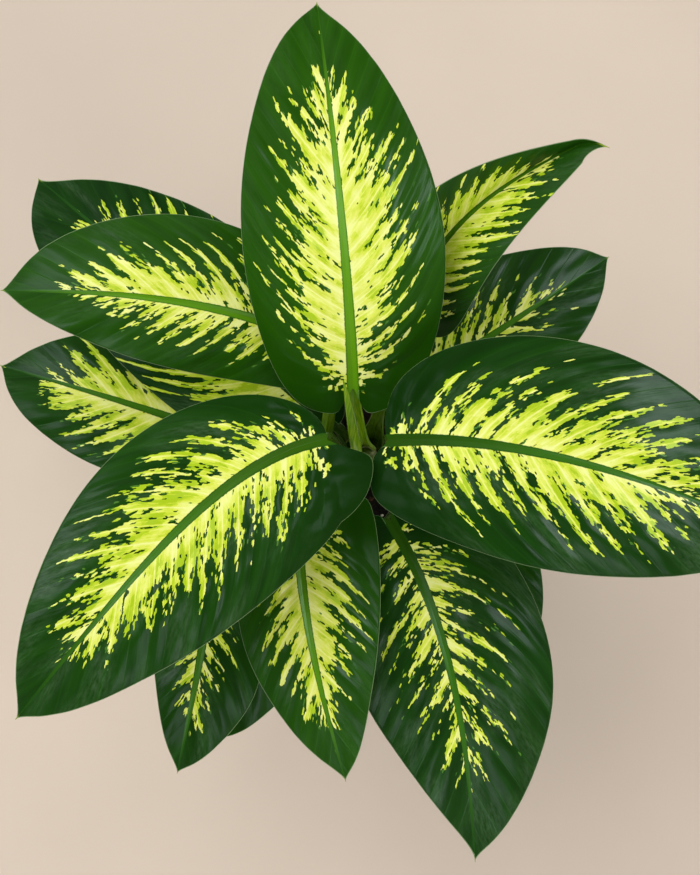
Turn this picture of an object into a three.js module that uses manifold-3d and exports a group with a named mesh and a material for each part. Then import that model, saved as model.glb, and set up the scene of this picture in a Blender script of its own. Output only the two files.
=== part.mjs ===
// Potted dieffenbachia: a plastic nursery pot filled with soil, three canes that stand in the
// soil, and thirteen variegated leaves. A leaf's blade, midrib, stalk and clasping sheath grew
// as one piece, so each leaf is one closed solid.
// Millimetres, +Z up. The origin is the centre of the pot's underside.

import * as THREE from "three";
import { mergeVertices } from "three/addons/utils/BufferGeometryUtils.js";
import Module from "manifold-3d";

const wasm = await Module();
wasm.setup();

// ---------------------------------------------------------------- driving dimensions

const SEAT_GAP = 0.3; // between pieces that touch

const POT = {
  rimRadius: 85,
  baseRadius: 61,
  height: 150,
  wall: 2.2,
  floor: 3,
  bandHeight: 22, // the upright band under the rim
  bandStep: 3.5, // how far the band stands out from the tapered wall
  edge: 1.2, // small rounding of rim and foot
  drainHoles: 8,
  drainRadius: 5,
  drainCircle: 46,
  segments: 40,
};

const SOIL = {
  edgeHeight: 124,
  crownHeight: 131,
  segments: 40,
};

const CANE = {
  footHeight: 50, // where the buried end stops
  firstNode: 136, // height of the lowest old leaf scar, just above the soil
  nodeSpacing: 24,
  nodeSwell: 0.9, // how far an old leaf scar stands out
  scarHeight: 5,
  tipShrink: 0.55, // radius of the growing tip, as a share of the cane's
  tipRounding: 3,
  segments: 16,
};

// The stalk is a crescent that clasps the cane at its foot and a channelled rod at the blade.
const STALK = {
  sheathThickness: 2.4,
  sheathAngle: 62, // half of the arc that clasps the cane
  rodRadius: 4.2,
  rodAngle: 125, // half of the rod's round side; the rest is its channel
  channelDepth: 0.9,
  lip: 0.25, // thickness left at the channel's two edges
  arcSteps: 3,
  closeFrom: 0.05,
  closeTo: 0.5,
  arrivalShare: 0.35, // length of the last bend before the blade, as a share of the span
  rings: 9,
};

// Under the blade the rod goes on as a keel that thins towards the tip.
const KEEL = {
  endScale: 0.24,
  reach: 0.85, // where it ends in a point, as a share of the midrib
  firstRow: 2, // the row of the blade at which the rod has become the keel
  rise: 0.1, // its top lies this far above the blade's middle surface
};

const BLADE = {
  thickness: 0.8,
  rows: 15,
  columns: 8,
  firstRow: 0.0008,
  veinStart: 0.1, // share of even spacing in where the lateral veins leave the midrib
  veinSweep: 2.2, // how far the lateral veins run forward before the margin
  veinCurve: 1.25,
  lobePeak: 0.09, // where along the margin the base lobes reach furthest back
  earRise: 0.0015, // how soon the margin turns back beside the stalk, to clasp it
  earFade: 0.05, // and how far along the margin that turn is felt
  tipPoint: 0.03, // length of the drawn-out tip
  hookFrom: 0.88, // where along the midrib a bent tip starts
  waveShift: 1.3, // how far the right margin's waves lag behind the left's, in radians
  waveFade: 10, // half-width below which the waves die out
  midribSteps: 50,
};

const CANES = [
  { name: "cane_tall", x: 1, y: 7, radius: 10, top: 300 },
  { name: "cane_right", x: 27, y: -14, radius: 8.5, top: 272 },
  { name: "cane_left", x: -21, y: -17, radius: 9.5, top: 282 },
];

// One half of a blade. `width` is its greatest half-width, `fill` sets how blunt the base is,
// `taper` how pointed the tip is, `lobe` how far the base lobe reaches back as a share of the
// length, `ear` how much further it does beside the stalk, and `fold` how far the half lifts
// out of the level, in degrees.
function half(width, taper, options = {}) {
  return { width, taper, fill: 0.5, lobe: 0.1, ear: 0.01, fold: 8, ...options };
}

// Angles are in degrees. `junction` is where stalk and blade meet, `node` the height at which
// the sheath leaves the cane, and `foot` the compass direction of the sheath. `lean`, `climb`
// and `arrive` bend the stalk. `rise`, `droop` and `bend` give the midrib's arch, and `azimuth`
// `swerve`, `turn` and `hook` its direction. Each half bends down by `curl` towards its margin, which
// waves by `wave` millimetres. Left and right are seen from above, looking towards the tip.
const LEAF_DEFAULTS = {
  bend: 1, turn: 2, curl: 12, wave: 2, waves: 2.5, hook: 0,
  lean: 0.12, climb: 0.42, arrive: 65,
};

const LEAVES = [
  {
    name: "leaf_01", cane: 0, node: 288, foot: 92, lean: 0, arrive: 72,
    junction: [-8, 51, 412], length: 252, azimuth: 97, swerve: -5,
    rise: 32, droop: 50, bend: 0.8, wave: 1.5,
    left: half(63, 0.7, { fill: 0.45, lobe: 0.06, ear: 0.07, fold: 12 }),
    right: half(63, 0.89, { fill: 0.53, lobe: 0.06, ear: 0.07, fold: 12 }),
  },
  {
    name: "leaf_02", cane: 0, node: 264, foot: 205, lean: 0.1, arrive: 84,
    junction: [-24, 19, 450], length: 274, azimuth: 230, swerve: -41,
    rise: 24, droop: 46, bend: 0.7, turn: 4,
    left: half(68, 0.85, { fill: 0.42, lobe: 0.08, ear: 0.105 }),
    right: half(60, 0.94, { fill: 0.62, lobe: 0, ear: 0 }),
  },
  {
    name: "leaf_03", cane: 0, node: 242, foot: -35, lean: 0.13, arrive: 88,
    junction: [13, 18, 436], length: 262, azimuth: -22, swerve: 26,
    rise: 28, droop: 48, bend: 0.8,
    left: half(72, 0.74, { fill: 0.51, lobe: 0.013, ear: 0.002 }),
    right: half(69, 0.71, { lobe: 0.09, ear: 0.03 }),
  },
  {
    name: "leaf_04", cane: 2, node: 270, foot: 122, lean: 0.2, climb: 0.45,
    junction: [-24, 78, 397], length: 222, azimuth: 178, swerve: -24,
    rise: 20, droop: 40,
    left: half(43, 0.92, { fill: 0.63, lobe: 0.17 }),
    right: half(56, 0.85, { fill: 0.73, lobe: 0.12 }),
  },
  {
    name: "leaf_05", cane: 0, node: 222, foot: 65, climb: 0.55, arrive: 40,
    junction: [30, 94, 370], length: 192, azimuth: 24, swerve: 64,
    rise: 34, droop: 28, curl: 10, wave: 1, hook: -55,
    left: half(47, 1.3, { fill: 0.4, lobe: 0.03, fold: 57 }),
    right: half(44, 0.81, { fill: 0.4, lobe: 0.03, fold: 43 }),
  },
  {
    name: "leaf_06", cane: 1, node: 258, foot: -55, arrive: 85,
    junction: [17, -36, 360], length: 247, azimuth: 275, swerve: 27,
    rise: 20, droop: 42, bend: 0.8,
    left: half(68, 1.05, { fill: 0.78, lobe: 0.14 }),
    right: half(63, 1.4, { fill: 0.85, lobe: 0.12 }),
  },
  {
    name: "leaf_07", cane: 2, node: 248, foot: 225, arrive: 82,
    junction: [-44, -29, 383], length: 184, azimuth: 285, swerve: -15,
    rise: 20, droop: 40,
    left: half(52, 0.84, { fill: 0.25, lobe: 0.12 }),
    right: half(44, 1.1, { fill: 0.65, lobe: 0.09 }),
  },
  {
    name: "leaf_08", cane: 1, node: 236, foot: 55, arrive: 70,
    junction: [17, 45, 298], length: 188, azimuth: 34, swerve: -2,
    rise: 22, droop: 36,
    left: half(52, 0.78), right: half(50, 0.79),
  },
  {
    name: "leaf_09", cane: 0, node: 198, foot: 168, lean: 0.22,
    junction: [-23, 29, 282], length: 280, azimuth: 140, swerve: 0,
    rise: 20, droop: 40,
    left: half(64, 0.5, { fill: 0.32, lobe: 0.04 }),
    right: half(62, 1.05, { fill: 0.94, lobe: 0.05 }),
  },
  {
    name: "leaf_10", cane: 2, node: 204, foot: 155,
    junction: [-74, 11, 275], length: 200, azimuth: 164, swerve: -6,
    rise: 15, droop: 30,
    left: half(50, 0.7, { fill: 0.66 }), right: half(58, 0.94, { fill: 0.57 }),
  },
  {
    name: "leaf_11", cane: 2, node: 226, foot: 225,
    junction: [-108, -81, 300], length: 143, azimuth: 257, swerve: 8,
    rise: 10, droop: 30,
    left: half(44, 1, { fill: 0.7 }), right: half(33, 1.04),
  },
  {
    name: "leaf_12", cane: 1, node: 214, foot: -15,
    junction: [76, -25, 285], length: 150, azimuth: 283, swerve: 0,
    rise: 10, droop: 30,
    left: half(38, 0.9), right: half(40, 0.9),
  },
  {
    name: "leaf_13", cane: 2, node: 184, foot: 240,
    junction: [-45, -71, 258], length: 150, azimuth: 243, swerve: 0,
    rise: 10, droop: 30,
    left: half(38, 0.75), right: half(38, 0.75),
  },
].map((leaf) => ({ ...LEAF_DEFAULTS, ...leaf }));

// ---------------------------------------------------------------- small helpers

const toRadians = THREE.MathUtils.degToRad;
const UP = new THREE.Vector3(0, 0, 1);

function compass(degrees) {
  const angle = toRadians(degrees);
  return new THREE.Vector3(Math.cos(angle), Math.sin(angle), 0);
}

function material(color, roughness) {
  return new THREE.MeshStandardMaterial({ color, roughness, metalness: 0 });
}

function indexedGeometry(points, triangles) {
  const geometry = new THREE.BufferGeometry().setFromPoints(points);
  geometry.setIndex(triangles.flat());
  return geometry;
}

function toSolid(geometry) {
  const bare = geometry.clone();
  bare.deleteAttribute("normal");
  bare.deleteAttribute("uv");
  const merged = mergeVertices(bare, 1e-4);
  const mesh = new wasm.Mesh({
    numProp: 3,
    vertProperties: new Float32Array(merged.attributes.position.array),
    triVerts: new Uint32Array(merged.index.array),
  });
  return new wasm.Manifold(mesh);
}

function toGeometry(solid) {
  const mesh = solid.getMesh();
  const geometry = new THREE.BufferGeometry();
  geometry.setAttribute("position", new THREE.BufferAttribute(mesh.vertProperties, mesh.numProp));
  geometry.setIndex(new THREE.BufferAttribute(mesh.triVerts, 1));
  return geometry;
}

// A lathe turned about +Z from [radius, height] pairs that run up the outside.
function turned(profile, segments) {
  const points = profile.map(([radius, height]) => new THREE.Vector2(radius, height));
  return new THREE.LatheGeometry(points, segments).rotateX(Math.PI / 2);
}

function uprightRod(radius, bottom, top, centre) {
  const rod = new THREE.CylinderGeometry(radius, radius, top - bottom, CANE.segments);
  return rod.rotateX(Math.PI / 2).translate(centre.x, centre.y, (top + bottom) / 2);
}

// Triangles between two rings of equal length, a and b being lists of vertex numbers.
function bridge(a, b) {
  const triangles = [];
  for (let i = 0; i < a.length; i += 1) {
    const next = (i + 1) % a.length;
    triangles.push([a[i], a[next], b[next]], [a[i], b[next], b[i]]);
  }
  return triangles;
}

// ---------------------------------------------------------------- pot and soil

// Radius of the pot's tapered outer wall at a height.
function potRadius(height) {
  const slope = (POT.rimRadius - POT.bandStep - POT.baseRadius) / POT.height;
  return POT.baseRadius + slope * height;
}

function potGeometry() {
  const bandFoot = POT.height - POT.bandHeight;
  const outside = [
    [0, 0],
    [POT.baseRadius - POT.edge, 0],
    [POT.baseRadius, POT.edge],
    [potRadius(bandFoot), bandFoot],
    [potRadius(bandFoot) + POT.bandStep, bandFoot + POT.edge],
    [POT.rimRadius, POT.height - POT.edge],
    [POT.rimRadius - POT.edge, POT.height],
  ];
  const inside = [
    [POT.rimRadius - POT.wall - POT.edge, POT.height],
    [POT.rimRadius - POT.wall - POT.bandStep, bandFoot + POT.edge],
    [potRadius(bandFoot) - POT.wall, bandFoot],
    [potRadius(POT.floor) - POT.wall, POT.floor],
    [0, POT.floor],
  ];
  let pot = toSolid(turned([...outside, ...inside], POT.segments));
  for (let i = 0; i < POT.drainHoles; i += 1) {
    const centre = compass((360 * i) / POT.drainHoles).multiplyScalar(POT.drainCircle);
    const drill = uprightRod(POT.drainRadius, -POT.floor, 2 * POT.floor, centre);
    pot = pot.subtract(toSolid(drill));
  }
  return toGeometry(pot);
}

function soilGeometry() {
  const clear = POT.wall + SEAT_GAP;
  const bottom = POT.floor + SEAT_GAP;
  const profile = [
    [0, bottom],
    [potRadius(bottom) - clear, bottom],
    [potRadius(SOIL.edgeHeight) - clear, SOIL.edgeHeight],
    [0.6 * POT.rimRadius, (SOIL.edgeHeight + 2 * SOIL.crownHeight) / 3],
    [0, SOIL.crownHeight],
  ];
  let soil = toSolid(turned(profile, SOIL.segments));
  for (const cane of CANES) {
    const radius = cane.radius + CANE.nodeSwell + SEAT_GAP;
    const hole = uprightRod(radius, CANE.footHeight - SEAT_GAP, POT.height, cane);
    soil = soil.subtract(toSolid(hole));
  }
  return toGeometry(soil);
}

// ---------------------------------------------------------------- canes

function lowestNode(caneIndex) {
  const nodes = LEAVES.filter((leaf) => leaf.cane === caneIndex).map((leaf) => leaf.node);
  return Math.min(...nodes);
}

// The bare stem keeps its radius; above the lowest leaf it thins to the growing tip.
function caneRadius(caneIndex, height) {
  const cane = CANES[caneIndex];
  const climbed = THREE.MathUtils.inverseLerp(lowestNode(caneIndex), cane.top, Math.max(
    height, lowestNode(caneIndex)));
  return cane.radius * THREE.MathUtils.lerp(1, CANE.tipShrink, climbed ** 1.5);
}

// Old leaf scars ring the bare stem at even steps; leafy stem above them is smooth.
function caneGeometry(caneIndex) {
  const cane = CANES[caneIndex];
  const profile = [[0, CANE.footHeight], [cane.radius, CANE.footHeight]];
  let height = CANE.firstNode;
  while (height < lowestNode(caneIndex) - CANE.nodeSpacing / 2) {
    profile.push([cane.radius, height - CANE.scarHeight / 2]);
    profile.push([cane.radius + CANE.nodeSwell, height]);
    profile.push([cane.radius, height + CANE.scarHeight / 2]);
    height += CANE.nodeSpacing;
  }
  const shoulder = cane.top - CANE.tipRounding;
  for (height = lowestNode(caneIndex); height < shoulder; height += CANE.nodeSpacing) {
    profile.push([caneRadius(caneIndex, height), height]);
  }
  profile.push([caneRadius(caneIndex, shoulder), shoulder]);
  profile.push([caneRadius(caneIndex, cane.top) / 2, cane.top]);
  profile.push([0, cane.top]);
  return turned(profile, CANE.segments).translate(cane.x, cane.y, 0);
}

// ---------------------------------------------------------------- leaf blade

// Stations along the midrib. The pitch falls from `rise` by `droop`. The heading turns by
// `swerve`, most of it near the base, and by `hook` at the very tip. The points are summed in
// short straight steps.
function midribStations(leaf) {
  const step = leaf.length / BLADE.midribSteps;
  const point = new THREE.Vector3(...leaf.junction);
  const stations = [];
  for (let i = 0; i <= BLADE.midribSteps; i += 1) {
    const s = i / BLADE.midribSteps;
    const pitch = toRadians(leaf.rise - leaf.droop * s ** leaf.bend);
    const hooked = Math.max(0, s - BLADE.hookFrom) / (1 - BLADE.hookFrom);
    const swerved = leaf.azimuth + leaf.swerve * (1 - s) ** leaf.turn;
    const heading = compass(swerved + leaf.hook * hooked);
    const along = heading.clone().multiplyScalar(Math.cos(pitch)).addScaledVector(UP, Math.sin(pitch));
    if (i > 0) {
      point.addScaledVector(stations[i - 1].along, step / 2).addScaledVector(along, step / 2);
    }
    stations.push({ point: point.clone(), along, left: UP.clone().cross(heading) });
  }
  return stations;
}

// The midrib's point and frame at s, from 0 at the junction to 1 at the tip. Behind the
// junction, where the base lobes lie, it goes on straight.
function midribAt(stations, leaf, s) {
  const position = THREE.MathUtils.clamp(s, 0, 1) * BLADE.midribSteps;
  const index = Math.min(Math.floor(position), BLADE.midribSteps - 1);
  const blend = position - index;
  const mix = (key) => stations[index][key].clone().lerp(stations[index + 1][key], blend);
  const along = mix("along").normalize();
  const left = mix("left").normalize();
  const point = mix("point").addScaledVector(along, Math.min(s, 0) * leaf.length);
  return { point, along, left, normal: along.clone().cross(left) };
}

// Where along the midrib the lateral vein starts that meets the margin at xi.
function veinFoot(xi) {
  return BLADE.veinStart * xi + (1 - BLADE.veinStart) * xi ** BLADE.veinSweep;
}

// Half-width as a share of its greatest: a root-like base times a tapering tip.
function outline(side, xi) {
  const shape = (x) => x ** side.fill * (1 - x) ** side.taper;
  const widest = side.fill / (side.fill + side.taper);
  return (shape(xi) / shape(widest)) * (1 - Math.exp(-(1 - xi) / BLADE.tipPoint));
}

// Middle surface of the blade. xi runs along the margin from base to tip, and q from the right
// margin (-1) over the midrib (0) to the left margin (+1). A line of one xi runs like a lateral
// vein, from its foot on the midrib forward to the margin in a curve. Each half lifts by its
// fold, bends down by `curl` towards its margin, and waves along it.
function bladePoint(leaf, stations, xi, q) {
  const side = q >= 0 ? leaf.left : leaf.right;
  const share = Math.abs(q);
  const rounded = side.lobe * (xi / BLADE.lobePeak) * Math.exp(1 - xi / BLADE.lobePeak);
  const clasping = side.ear * (1 - Math.exp(-xi / BLADE.earRise)) * Math.exp(-xi / BLADE.earFade);
  const lobe = rounded + clasping;
  const onMidrib = veinFoot(xi);
  const s = onMidrib + (xi - lobe - onMidrib) * share ** BLADE.veinCurve;
  const reach = side.width * outline(side, xi) * share;
  const widest = Math.max(leaf.left.width, leaf.right.width);
  const angle = toRadians(side.fold - (leaf.curl * reach) / widest);
  const phase = 2 * Math.PI * leaf.waves * xi + (q >= 0 ? 0 : BLADE.waveShift);
  const ripple = leaf.wave * share ** 2 * Math.sin(phase) * Math.min(1, reach / BLADE.waveFade);
  const frame = midribAt(stations, leaf, s);
  return frame.point
    .addScaledVector(frame.left, Math.sign(q) * reach * Math.cos(angle))
    .addScaledVector(frame.normal, reach * Math.sin(angle) + ripple);
}

// The blade as a closed sheet of even thickness: the middle surface is moved out to both sides
// along its normals, both faces are split into the same triangles, and the rim joins them.
function bladeGeometry(leaf, stations) {
  const width = BLADE.columns + 1;
  const middle = [];
  for (let row = 0; row < BLADE.rows; row += 1) {
    const xi = rowPosition(row);
    for (let column = 0; column < width; column += 1) {
      middle.push(bladePoint(leaf, stations, xi, (2 * column) / BLADE.columns - 1));
    }
  }
  const tip = middle.length;
  middle.push(bladePoint(leaf, stations, 1, 0));

  const face = [];
  for (let row = 0; row < BLADE.rows - 1; row += 1) {
    for (let column = 0; column < BLADE.columns; column += 1) {
      const a = row * width + column;
      const b = a + width;
      if (column < BLADE.columns / 2) {
        face.push([a, b, b + 1], [a, b + 1, a + 1]);
      } else {
        face.push([a, b, a + 1], [a + 1, b, b + 1]);
      }
    }
  }
  const lastRow = (BLADE.rows - 1) * width;
  for (let column = 0; column < BLADE.columns; column += 1) {
    face.push([lastRow + column, tip, lastRow + column + 1]);
  }

  const sheet = indexedGeometry(middle, face);
  sheet.computeVertexNormals();
  const normals = sheet.attributes.normal;
  const offset = (distance) => middle.map((point, i) => {
    return point.clone().addScaledVector(new THREE.Vector3().fromBufferAttribute(normals, i), distance);
  });
  const count = middle.length;
  const points = [...offset(BLADE.thickness / 2), ...offset(-BLADE.thickness / 2)];

  const rim = [];
  for (let column = 0; column < width; column += 1) rim.push(column);
  for (let row = 1; row < BLADE.rows; row += 1) rim.push(row * width + BLADE.columns);
  rim.push(tip);
  for (let row = BLADE.rows - 1; row > 0; row -= 1) rim.push(row * width);

  const triangles = [
    ...face,
    ...face.map(([a, b, c]) => [a + count, c + count, b + count]),
    ...bridge(rim, rim.map((i) => i + count)),
  ];
  return indexedGeometry(points, triangles);
}

// ---------------------------------------------------------------- leaf stalk and midrib keel

// Points of an arc as [away from the leaf's upper side, sideways] pairs.
function arc(radius, from, to) {
  return Array.from({ length: STALK.arcSteps + 1 }, (_, i) => {
    const angle = toRadians(from + ((to - from) * i) / STALK.arcSteps);
    return [radius * Math.cos(angle), radius * Math.sin(angle)];
  });
}

// Crescent section that clasps the cane; its inner side's straight steps stay clear of it.
function sheathSection(innerRadius) {
  const halfStep = toRadians(STALK.sheathAngle / STALK.arcSteps);
  const inner = innerRadius / Math.cos(halfStep);
  return [
    ...arc(inner + STALK.sheathThickness, -STALK.sheathAngle, STALK.sheathAngle),
    ...arc(inner, STALK.sheathAngle, -STALK.sheathAngle),
  ];
}

// Rod section with a channel on its upper side, with as many points as the crescent.
function rodSection() {
  const [edgeX, edgeY] = arc(STALK.rodRadius, 0, STALK.rodAngle).at(-1);
  const channel = Array.from({ length: STALK.arcSteps + 1 }, (_, i) => {
    const share = i / STALK.arcSteps;
    const dip = STALK.channelDepth * Math.sin(Math.PI * share);
    return [edgeX + STALK.lip + dip, edgeY * (1 - 2 * share)];
  });
  return [...arc(STALK.rodRadius, -STALK.rodAngle, STALK.rodAngle), ...channel];
}

// Round section of the keel, with a corner exactly at its top.
function keelSection(radius) {
  const corners = 2 * (STALK.arcSteps + 1);
  const first = 180 - (360 * (corners - STALK.arcSteps / 2 - 0.5)) / corners;
  return Array.from({ length: corners }, (_, i) => {
    const angle = toRadians(first + (360 * i) / corners);
    return [radius * Math.cos(angle), radius * Math.sin(angle)];
  });
}

// Where a row of the blade meets its margin, from 0 at the base to 1 at the tip. The rows
// stand closer together at both ends, where the margin turns most.
function rowPosition(row) {
  const share = (1 - Math.cos((Math.PI * row) / BLADE.rows)) / 2;
  return Math.max(BLADE.firstRow, share);
}

function keelCentre(frame, radius) {
  return frame.point.clone().addScaledVector(frame.normal, KEEL.rise - radius);
}

// Rings of the stalk, from the cane up to the junction. The centre line leaves the cane
// upwards and bends outwards to the blade, while the crescent closes to the channelled rod.
function stalkRings(leaf, stations) {
  const cane = CANES[leaf.cane];
  const start = midribAt(stations, leaf, 0);
  const foot = new THREE.Vector3(cane.x, cane.y, leaf.node);
  const end = keelCentre(start, STALK.rodRadius);
  const span = end.distanceTo(foot);
  const outward = compass(leaf.foot);
  const arrive = toRadians(leaf.arrive);
  const arrival = outward.clone().multiplyScalar(Math.cos(arrive)).addScaledVector(UP, Math.sin(arrive));
  const path = new THREE.CubicBezierCurve3(
    foot,
    foot.clone().addScaledVector(UP, leaf.climb * span).addScaledVector(outward, leaf.lean * span),
    end.clone().addScaledVector(arrival, -STALK.arrivalShare * span),
    end,
  );
  const sheath = sheathSection(caneRadius(leaf.cane, leaf.node) + SEAT_GAP);
  const rod = rodSection();
  const footLeft = UP.clone().cross(outward);
  const rings = [];
  for (let i = 0; i < STALK.rings; i += 1) {
    const t = i / STALK.rings;
    const closed = THREE.MathUtils.smoothstep(t, STALK.closeFrom, STALK.closeTo);
    const along = UP.clone().lerp(path.getTangent(t), closed).normalize();
    const left = footLeft.clone().lerp(start.left, THREE.MathUtils.smoothstep(t, 0, 1));
    const mixed = (k, axis) => THREE.MathUtils.lerp(sheath[k][axis], rod[k][axis], closed);
    rings.push({
      point: path.getPoint(t),
      along,
      normal: along.clone().cross(left).normalize(),
      section: sheath.map((_, k) => [mixed(k, 0), mixed(k, 1)]),
    });
  }
  return rings;
}

// Rings of the keel under the midrib, each at a row of the blade, so both bend alike.
function keelRings(leaf, stations) {
  const rings = [];
  for (let row = KEEL.firstRow; row < BLADE.rows; row += 1) {
    const s = veinFoot(rowPosition(row));
    if (s > KEEL.reach) break;
    const radius = STALK.rodRadius * THREE.MathUtils.lerp(1, KEEL.endScale, s / KEEL.reach);
    const frame = midribAt(stations, leaf, s);
    rings.push({ ...frame, point: keelCentre(frame, radius), section: keelSection(radius) });
  }
  return rings;
}

// The stalk and its keel as one closed body, from the crescent at the cane to the keel's point.
function stalkGeometry(leaf, stations) {
  const rings = [...stalkRings(leaf, stations), ...keelRings(leaf, stations)];
  const size = rings[0].section.length;
  const points = [];
  for (const ring of rings) {
    const side = ring.normal.clone().cross(ring.along);
    for (const [away, sideways] of ring.section) {
      points.push(ring.point.clone()
        .addScaledVector(ring.normal, -away)
        .addScaledVector(side, sideways));
    }
  }
  const ringIndices = (r) => Array.from({ length: size }, (_, k) => r * size + k);
  const triangles = [];
  for (let r = 0; r < rings.length - 1; r += 1) {
    triangles.push(...bridge(ringIndices(r), ringIndices(r + 1)));
  }
  const contour = rings[0].section.map(([x, y]) => new THREE.Vector2(x, y));
  const cap = THREE.ShapeUtils.triangulateShape(contour, []);
  triangles.push(...cap.map(([a, b, c]) => [a, c, b]));

  const tip = points.length;
  points.push(midribAt(stations, leaf, KEEL.reach).point);
  const last = ringIndices(rings.length - 1);
  last.forEach((corner, k) => triangles.push([corner, last[(k + 1) % size], tip]));
  return indexedGeometry(points, triangles);
}

function leafGeometry(leaf) {
  const stations = midribStations(leaf);
  const blade = toSolid(bladeGeometry(leaf, stations));
  const stalk = toSolid(stalkGeometry(leaf, stations));
  return toGeometry(blade.add(stalk));
}

// ---------------------------------------------------------------- assembly

const plant = new THREE.Group();

function place(name, geometry, finish) {
  const mesh = new THREE.Mesh(geometry, finish);
  mesh.name = name;
  plant.add(mesh);
}

place("pot", potGeometry(), material("#3a3d3f", 0.55));
place("potting_soil", soilGeometry(), material("#35271d", 0.95));
CANES.forEach((cane, i) => place(cane.name, caneGeometry(i), material("#7d8a4a", 0.6)));
LEAVES.forEach((leaf) => place(leaf.name, leafGeometry(leaf), material("#2f6b24", 0.4)));

export default plant;
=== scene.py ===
import logging
import math
from dataclasses import dataclass, field
from enum import Enum
from functools import partial
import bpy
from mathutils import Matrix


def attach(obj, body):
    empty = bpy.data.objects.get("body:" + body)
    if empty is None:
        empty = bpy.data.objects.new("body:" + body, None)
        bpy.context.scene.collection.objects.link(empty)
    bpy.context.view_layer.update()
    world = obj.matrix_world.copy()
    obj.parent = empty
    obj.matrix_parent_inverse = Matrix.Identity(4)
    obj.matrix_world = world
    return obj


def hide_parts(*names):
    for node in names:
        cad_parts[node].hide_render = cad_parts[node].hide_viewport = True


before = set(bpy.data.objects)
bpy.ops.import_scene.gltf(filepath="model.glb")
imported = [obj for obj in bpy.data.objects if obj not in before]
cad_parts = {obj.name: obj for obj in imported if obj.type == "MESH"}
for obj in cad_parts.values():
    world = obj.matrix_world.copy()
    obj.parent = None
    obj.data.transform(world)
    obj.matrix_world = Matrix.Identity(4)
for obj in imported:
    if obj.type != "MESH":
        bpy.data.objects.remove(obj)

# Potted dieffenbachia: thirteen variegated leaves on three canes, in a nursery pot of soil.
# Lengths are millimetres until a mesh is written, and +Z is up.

from types import SimpleNamespace
from typing import Any, Callable

import bmesh
import bpy
import numpy as np
from mathutils import Vector

Array = np.ndarray
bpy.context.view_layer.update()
BODY = "root"
METRES = 0.001
UP = np.array([0.0, 0.0, 1.0])
GOLDEN_ANGLE = 137.5  # degrees between one old leaf's scar and the next
log = logging.getLogger("dieffenbachia")


class Slot(Enum):
    """The material slots."""

    POT = "pot_plastic"
    SOIL = "soil"
    CANE = "cane"
    LEAF = "leaf"


class Face(Enum):
    """The two faces of a leaf, as the value that its points carry."""

    UPPER = 1.0
    UNDER = 0.0


class Rays(Enum):
    """What a studio light serves: even light, or the sheen on glossy faces."""

    DIFFUSE = "diffuse"
    GLOSSY = "glossy"


class Kind(Enum):
    """The kinds of shader node that the finishes use, with the settings that make them so."""

    SHADER = ("BsdfPrincipled", {})
    OUTPUT = ("OutputMaterial", {})
    ATTRIBUTE = ("Attribute", {})
    COORDINATE = ("TexCoord", {})
    MAPPING = ("Mapping", {})
    SEPARATE = ("SeparateXYZ", {})
    COMBINE = ("CombineXYZ", {})
    RAMP = ("ValToRGB", {})
    BUMP = ("Bump", {})
    RAY = ("LightPath", {})
    NOISE = ("TexNoise", {})
    FLAT_NOISE = ("TexNoise", {"noise_dimensions": "2D"})
    CELLS = ("TexVoronoi", {"voronoi_dimensions": "2D", "distance": "CHEBYCHEV"})
    DICE = ("TexWhiteNoise", {"noise_dimensions": "2D"})
    BLEND = ("Mix", {"data_type": "RGBA"})
    SUBTRACT = ("Math", {"operation": "SUBTRACT"})
    MULTIPLY = ("Math", {"operation": "MULTIPLY"})
    DIVIDE = ("Math", {"operation": "DIVIDE"})
    POWER = ("Math", {"operation": "POWER"})
    MULTIPLY_ADD = ("Math", {"operation": "MULTIPLY_ADD"})
    FADE = ("Math", {"operation": "MULTIPLY_ADD", "use_clamp": True})
    LOWEST = ("Math", {"operation": "MINIMUM"})
    HIGHEST = ("Math", {"operation": "MAXIMUM"})
    ABSOLUTE = ("Math", {"operation": "ABSOLUTE"})
    ROUND = ("Math", {"operation": "ROUND"})
    SIGN = ("Math", {"operation": "SIGN"})
    COSINE = ("Math", {"operation": "COSINE"})
    BELOW = ("Math", {"operation": "LESS_THAN"})
    ABOVE = ("Math", {"operation": "GREATER_THAN"})


# ------------------------------------------------------------------ numbers and meshes


def compass(degrees: Array | float) -> Array:
    """Unit vectors in the level plane, from +X towards +Y."""
    angle = np.radians(degrees)
    return np.stack([np.cos(angle), np.sin(angle), np.zeros_like(angle)], -1)


def unit(vectors: Array) -> Array:
    """The vectors made one long."""
    return vectors / np.linalg.norm(vectors, axis=-1, keepdims=True)


def smoothstep(value: Array | float, low: float, high: float) -> Array:
    """0 below `low`, 1 above `high`, and 3t^2 - 2t^3 between them."""
    t = np.clip((np.asarray(value, float) - low) / (high - low), 0, 1)
    return t * t * (3 - 2 * t)


def mix(a: Array | float, b: Array | float, share: Array | float) -> Array:
    """a where share is 0, b where it is 1."""
    return a + (b - a) * share


def waves(place: Array, seed: int, count: int = 5) -> Array:
    """Smooth unevenness between about -1 and 1, as a sum of sines.

    Each sine runs in its own direction with its own phase, drawn from the seed, and shorter
    ones are weaker.

    Args:
        place: points in any number of dimensions, one wave long per unit.
        seed: chooses the directions and phases.
        count: how many sines are summed.

    Returns:
        One number per point.
    """
    dice = np.random.default_rng(seed)
    total = np.zeros(place.shape[:-1])
    for k in range(count):
        direction = unit(dice.normal(size=place.shape[-1])) * (1 + 0.7 * k)
        phase = dice.uniform(0, 2 * np.pi)
        total += np.sin(2 * np.pi * (place @ direction) + phase) / (1 + 0.6 * k)
    return total / 2


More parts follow.
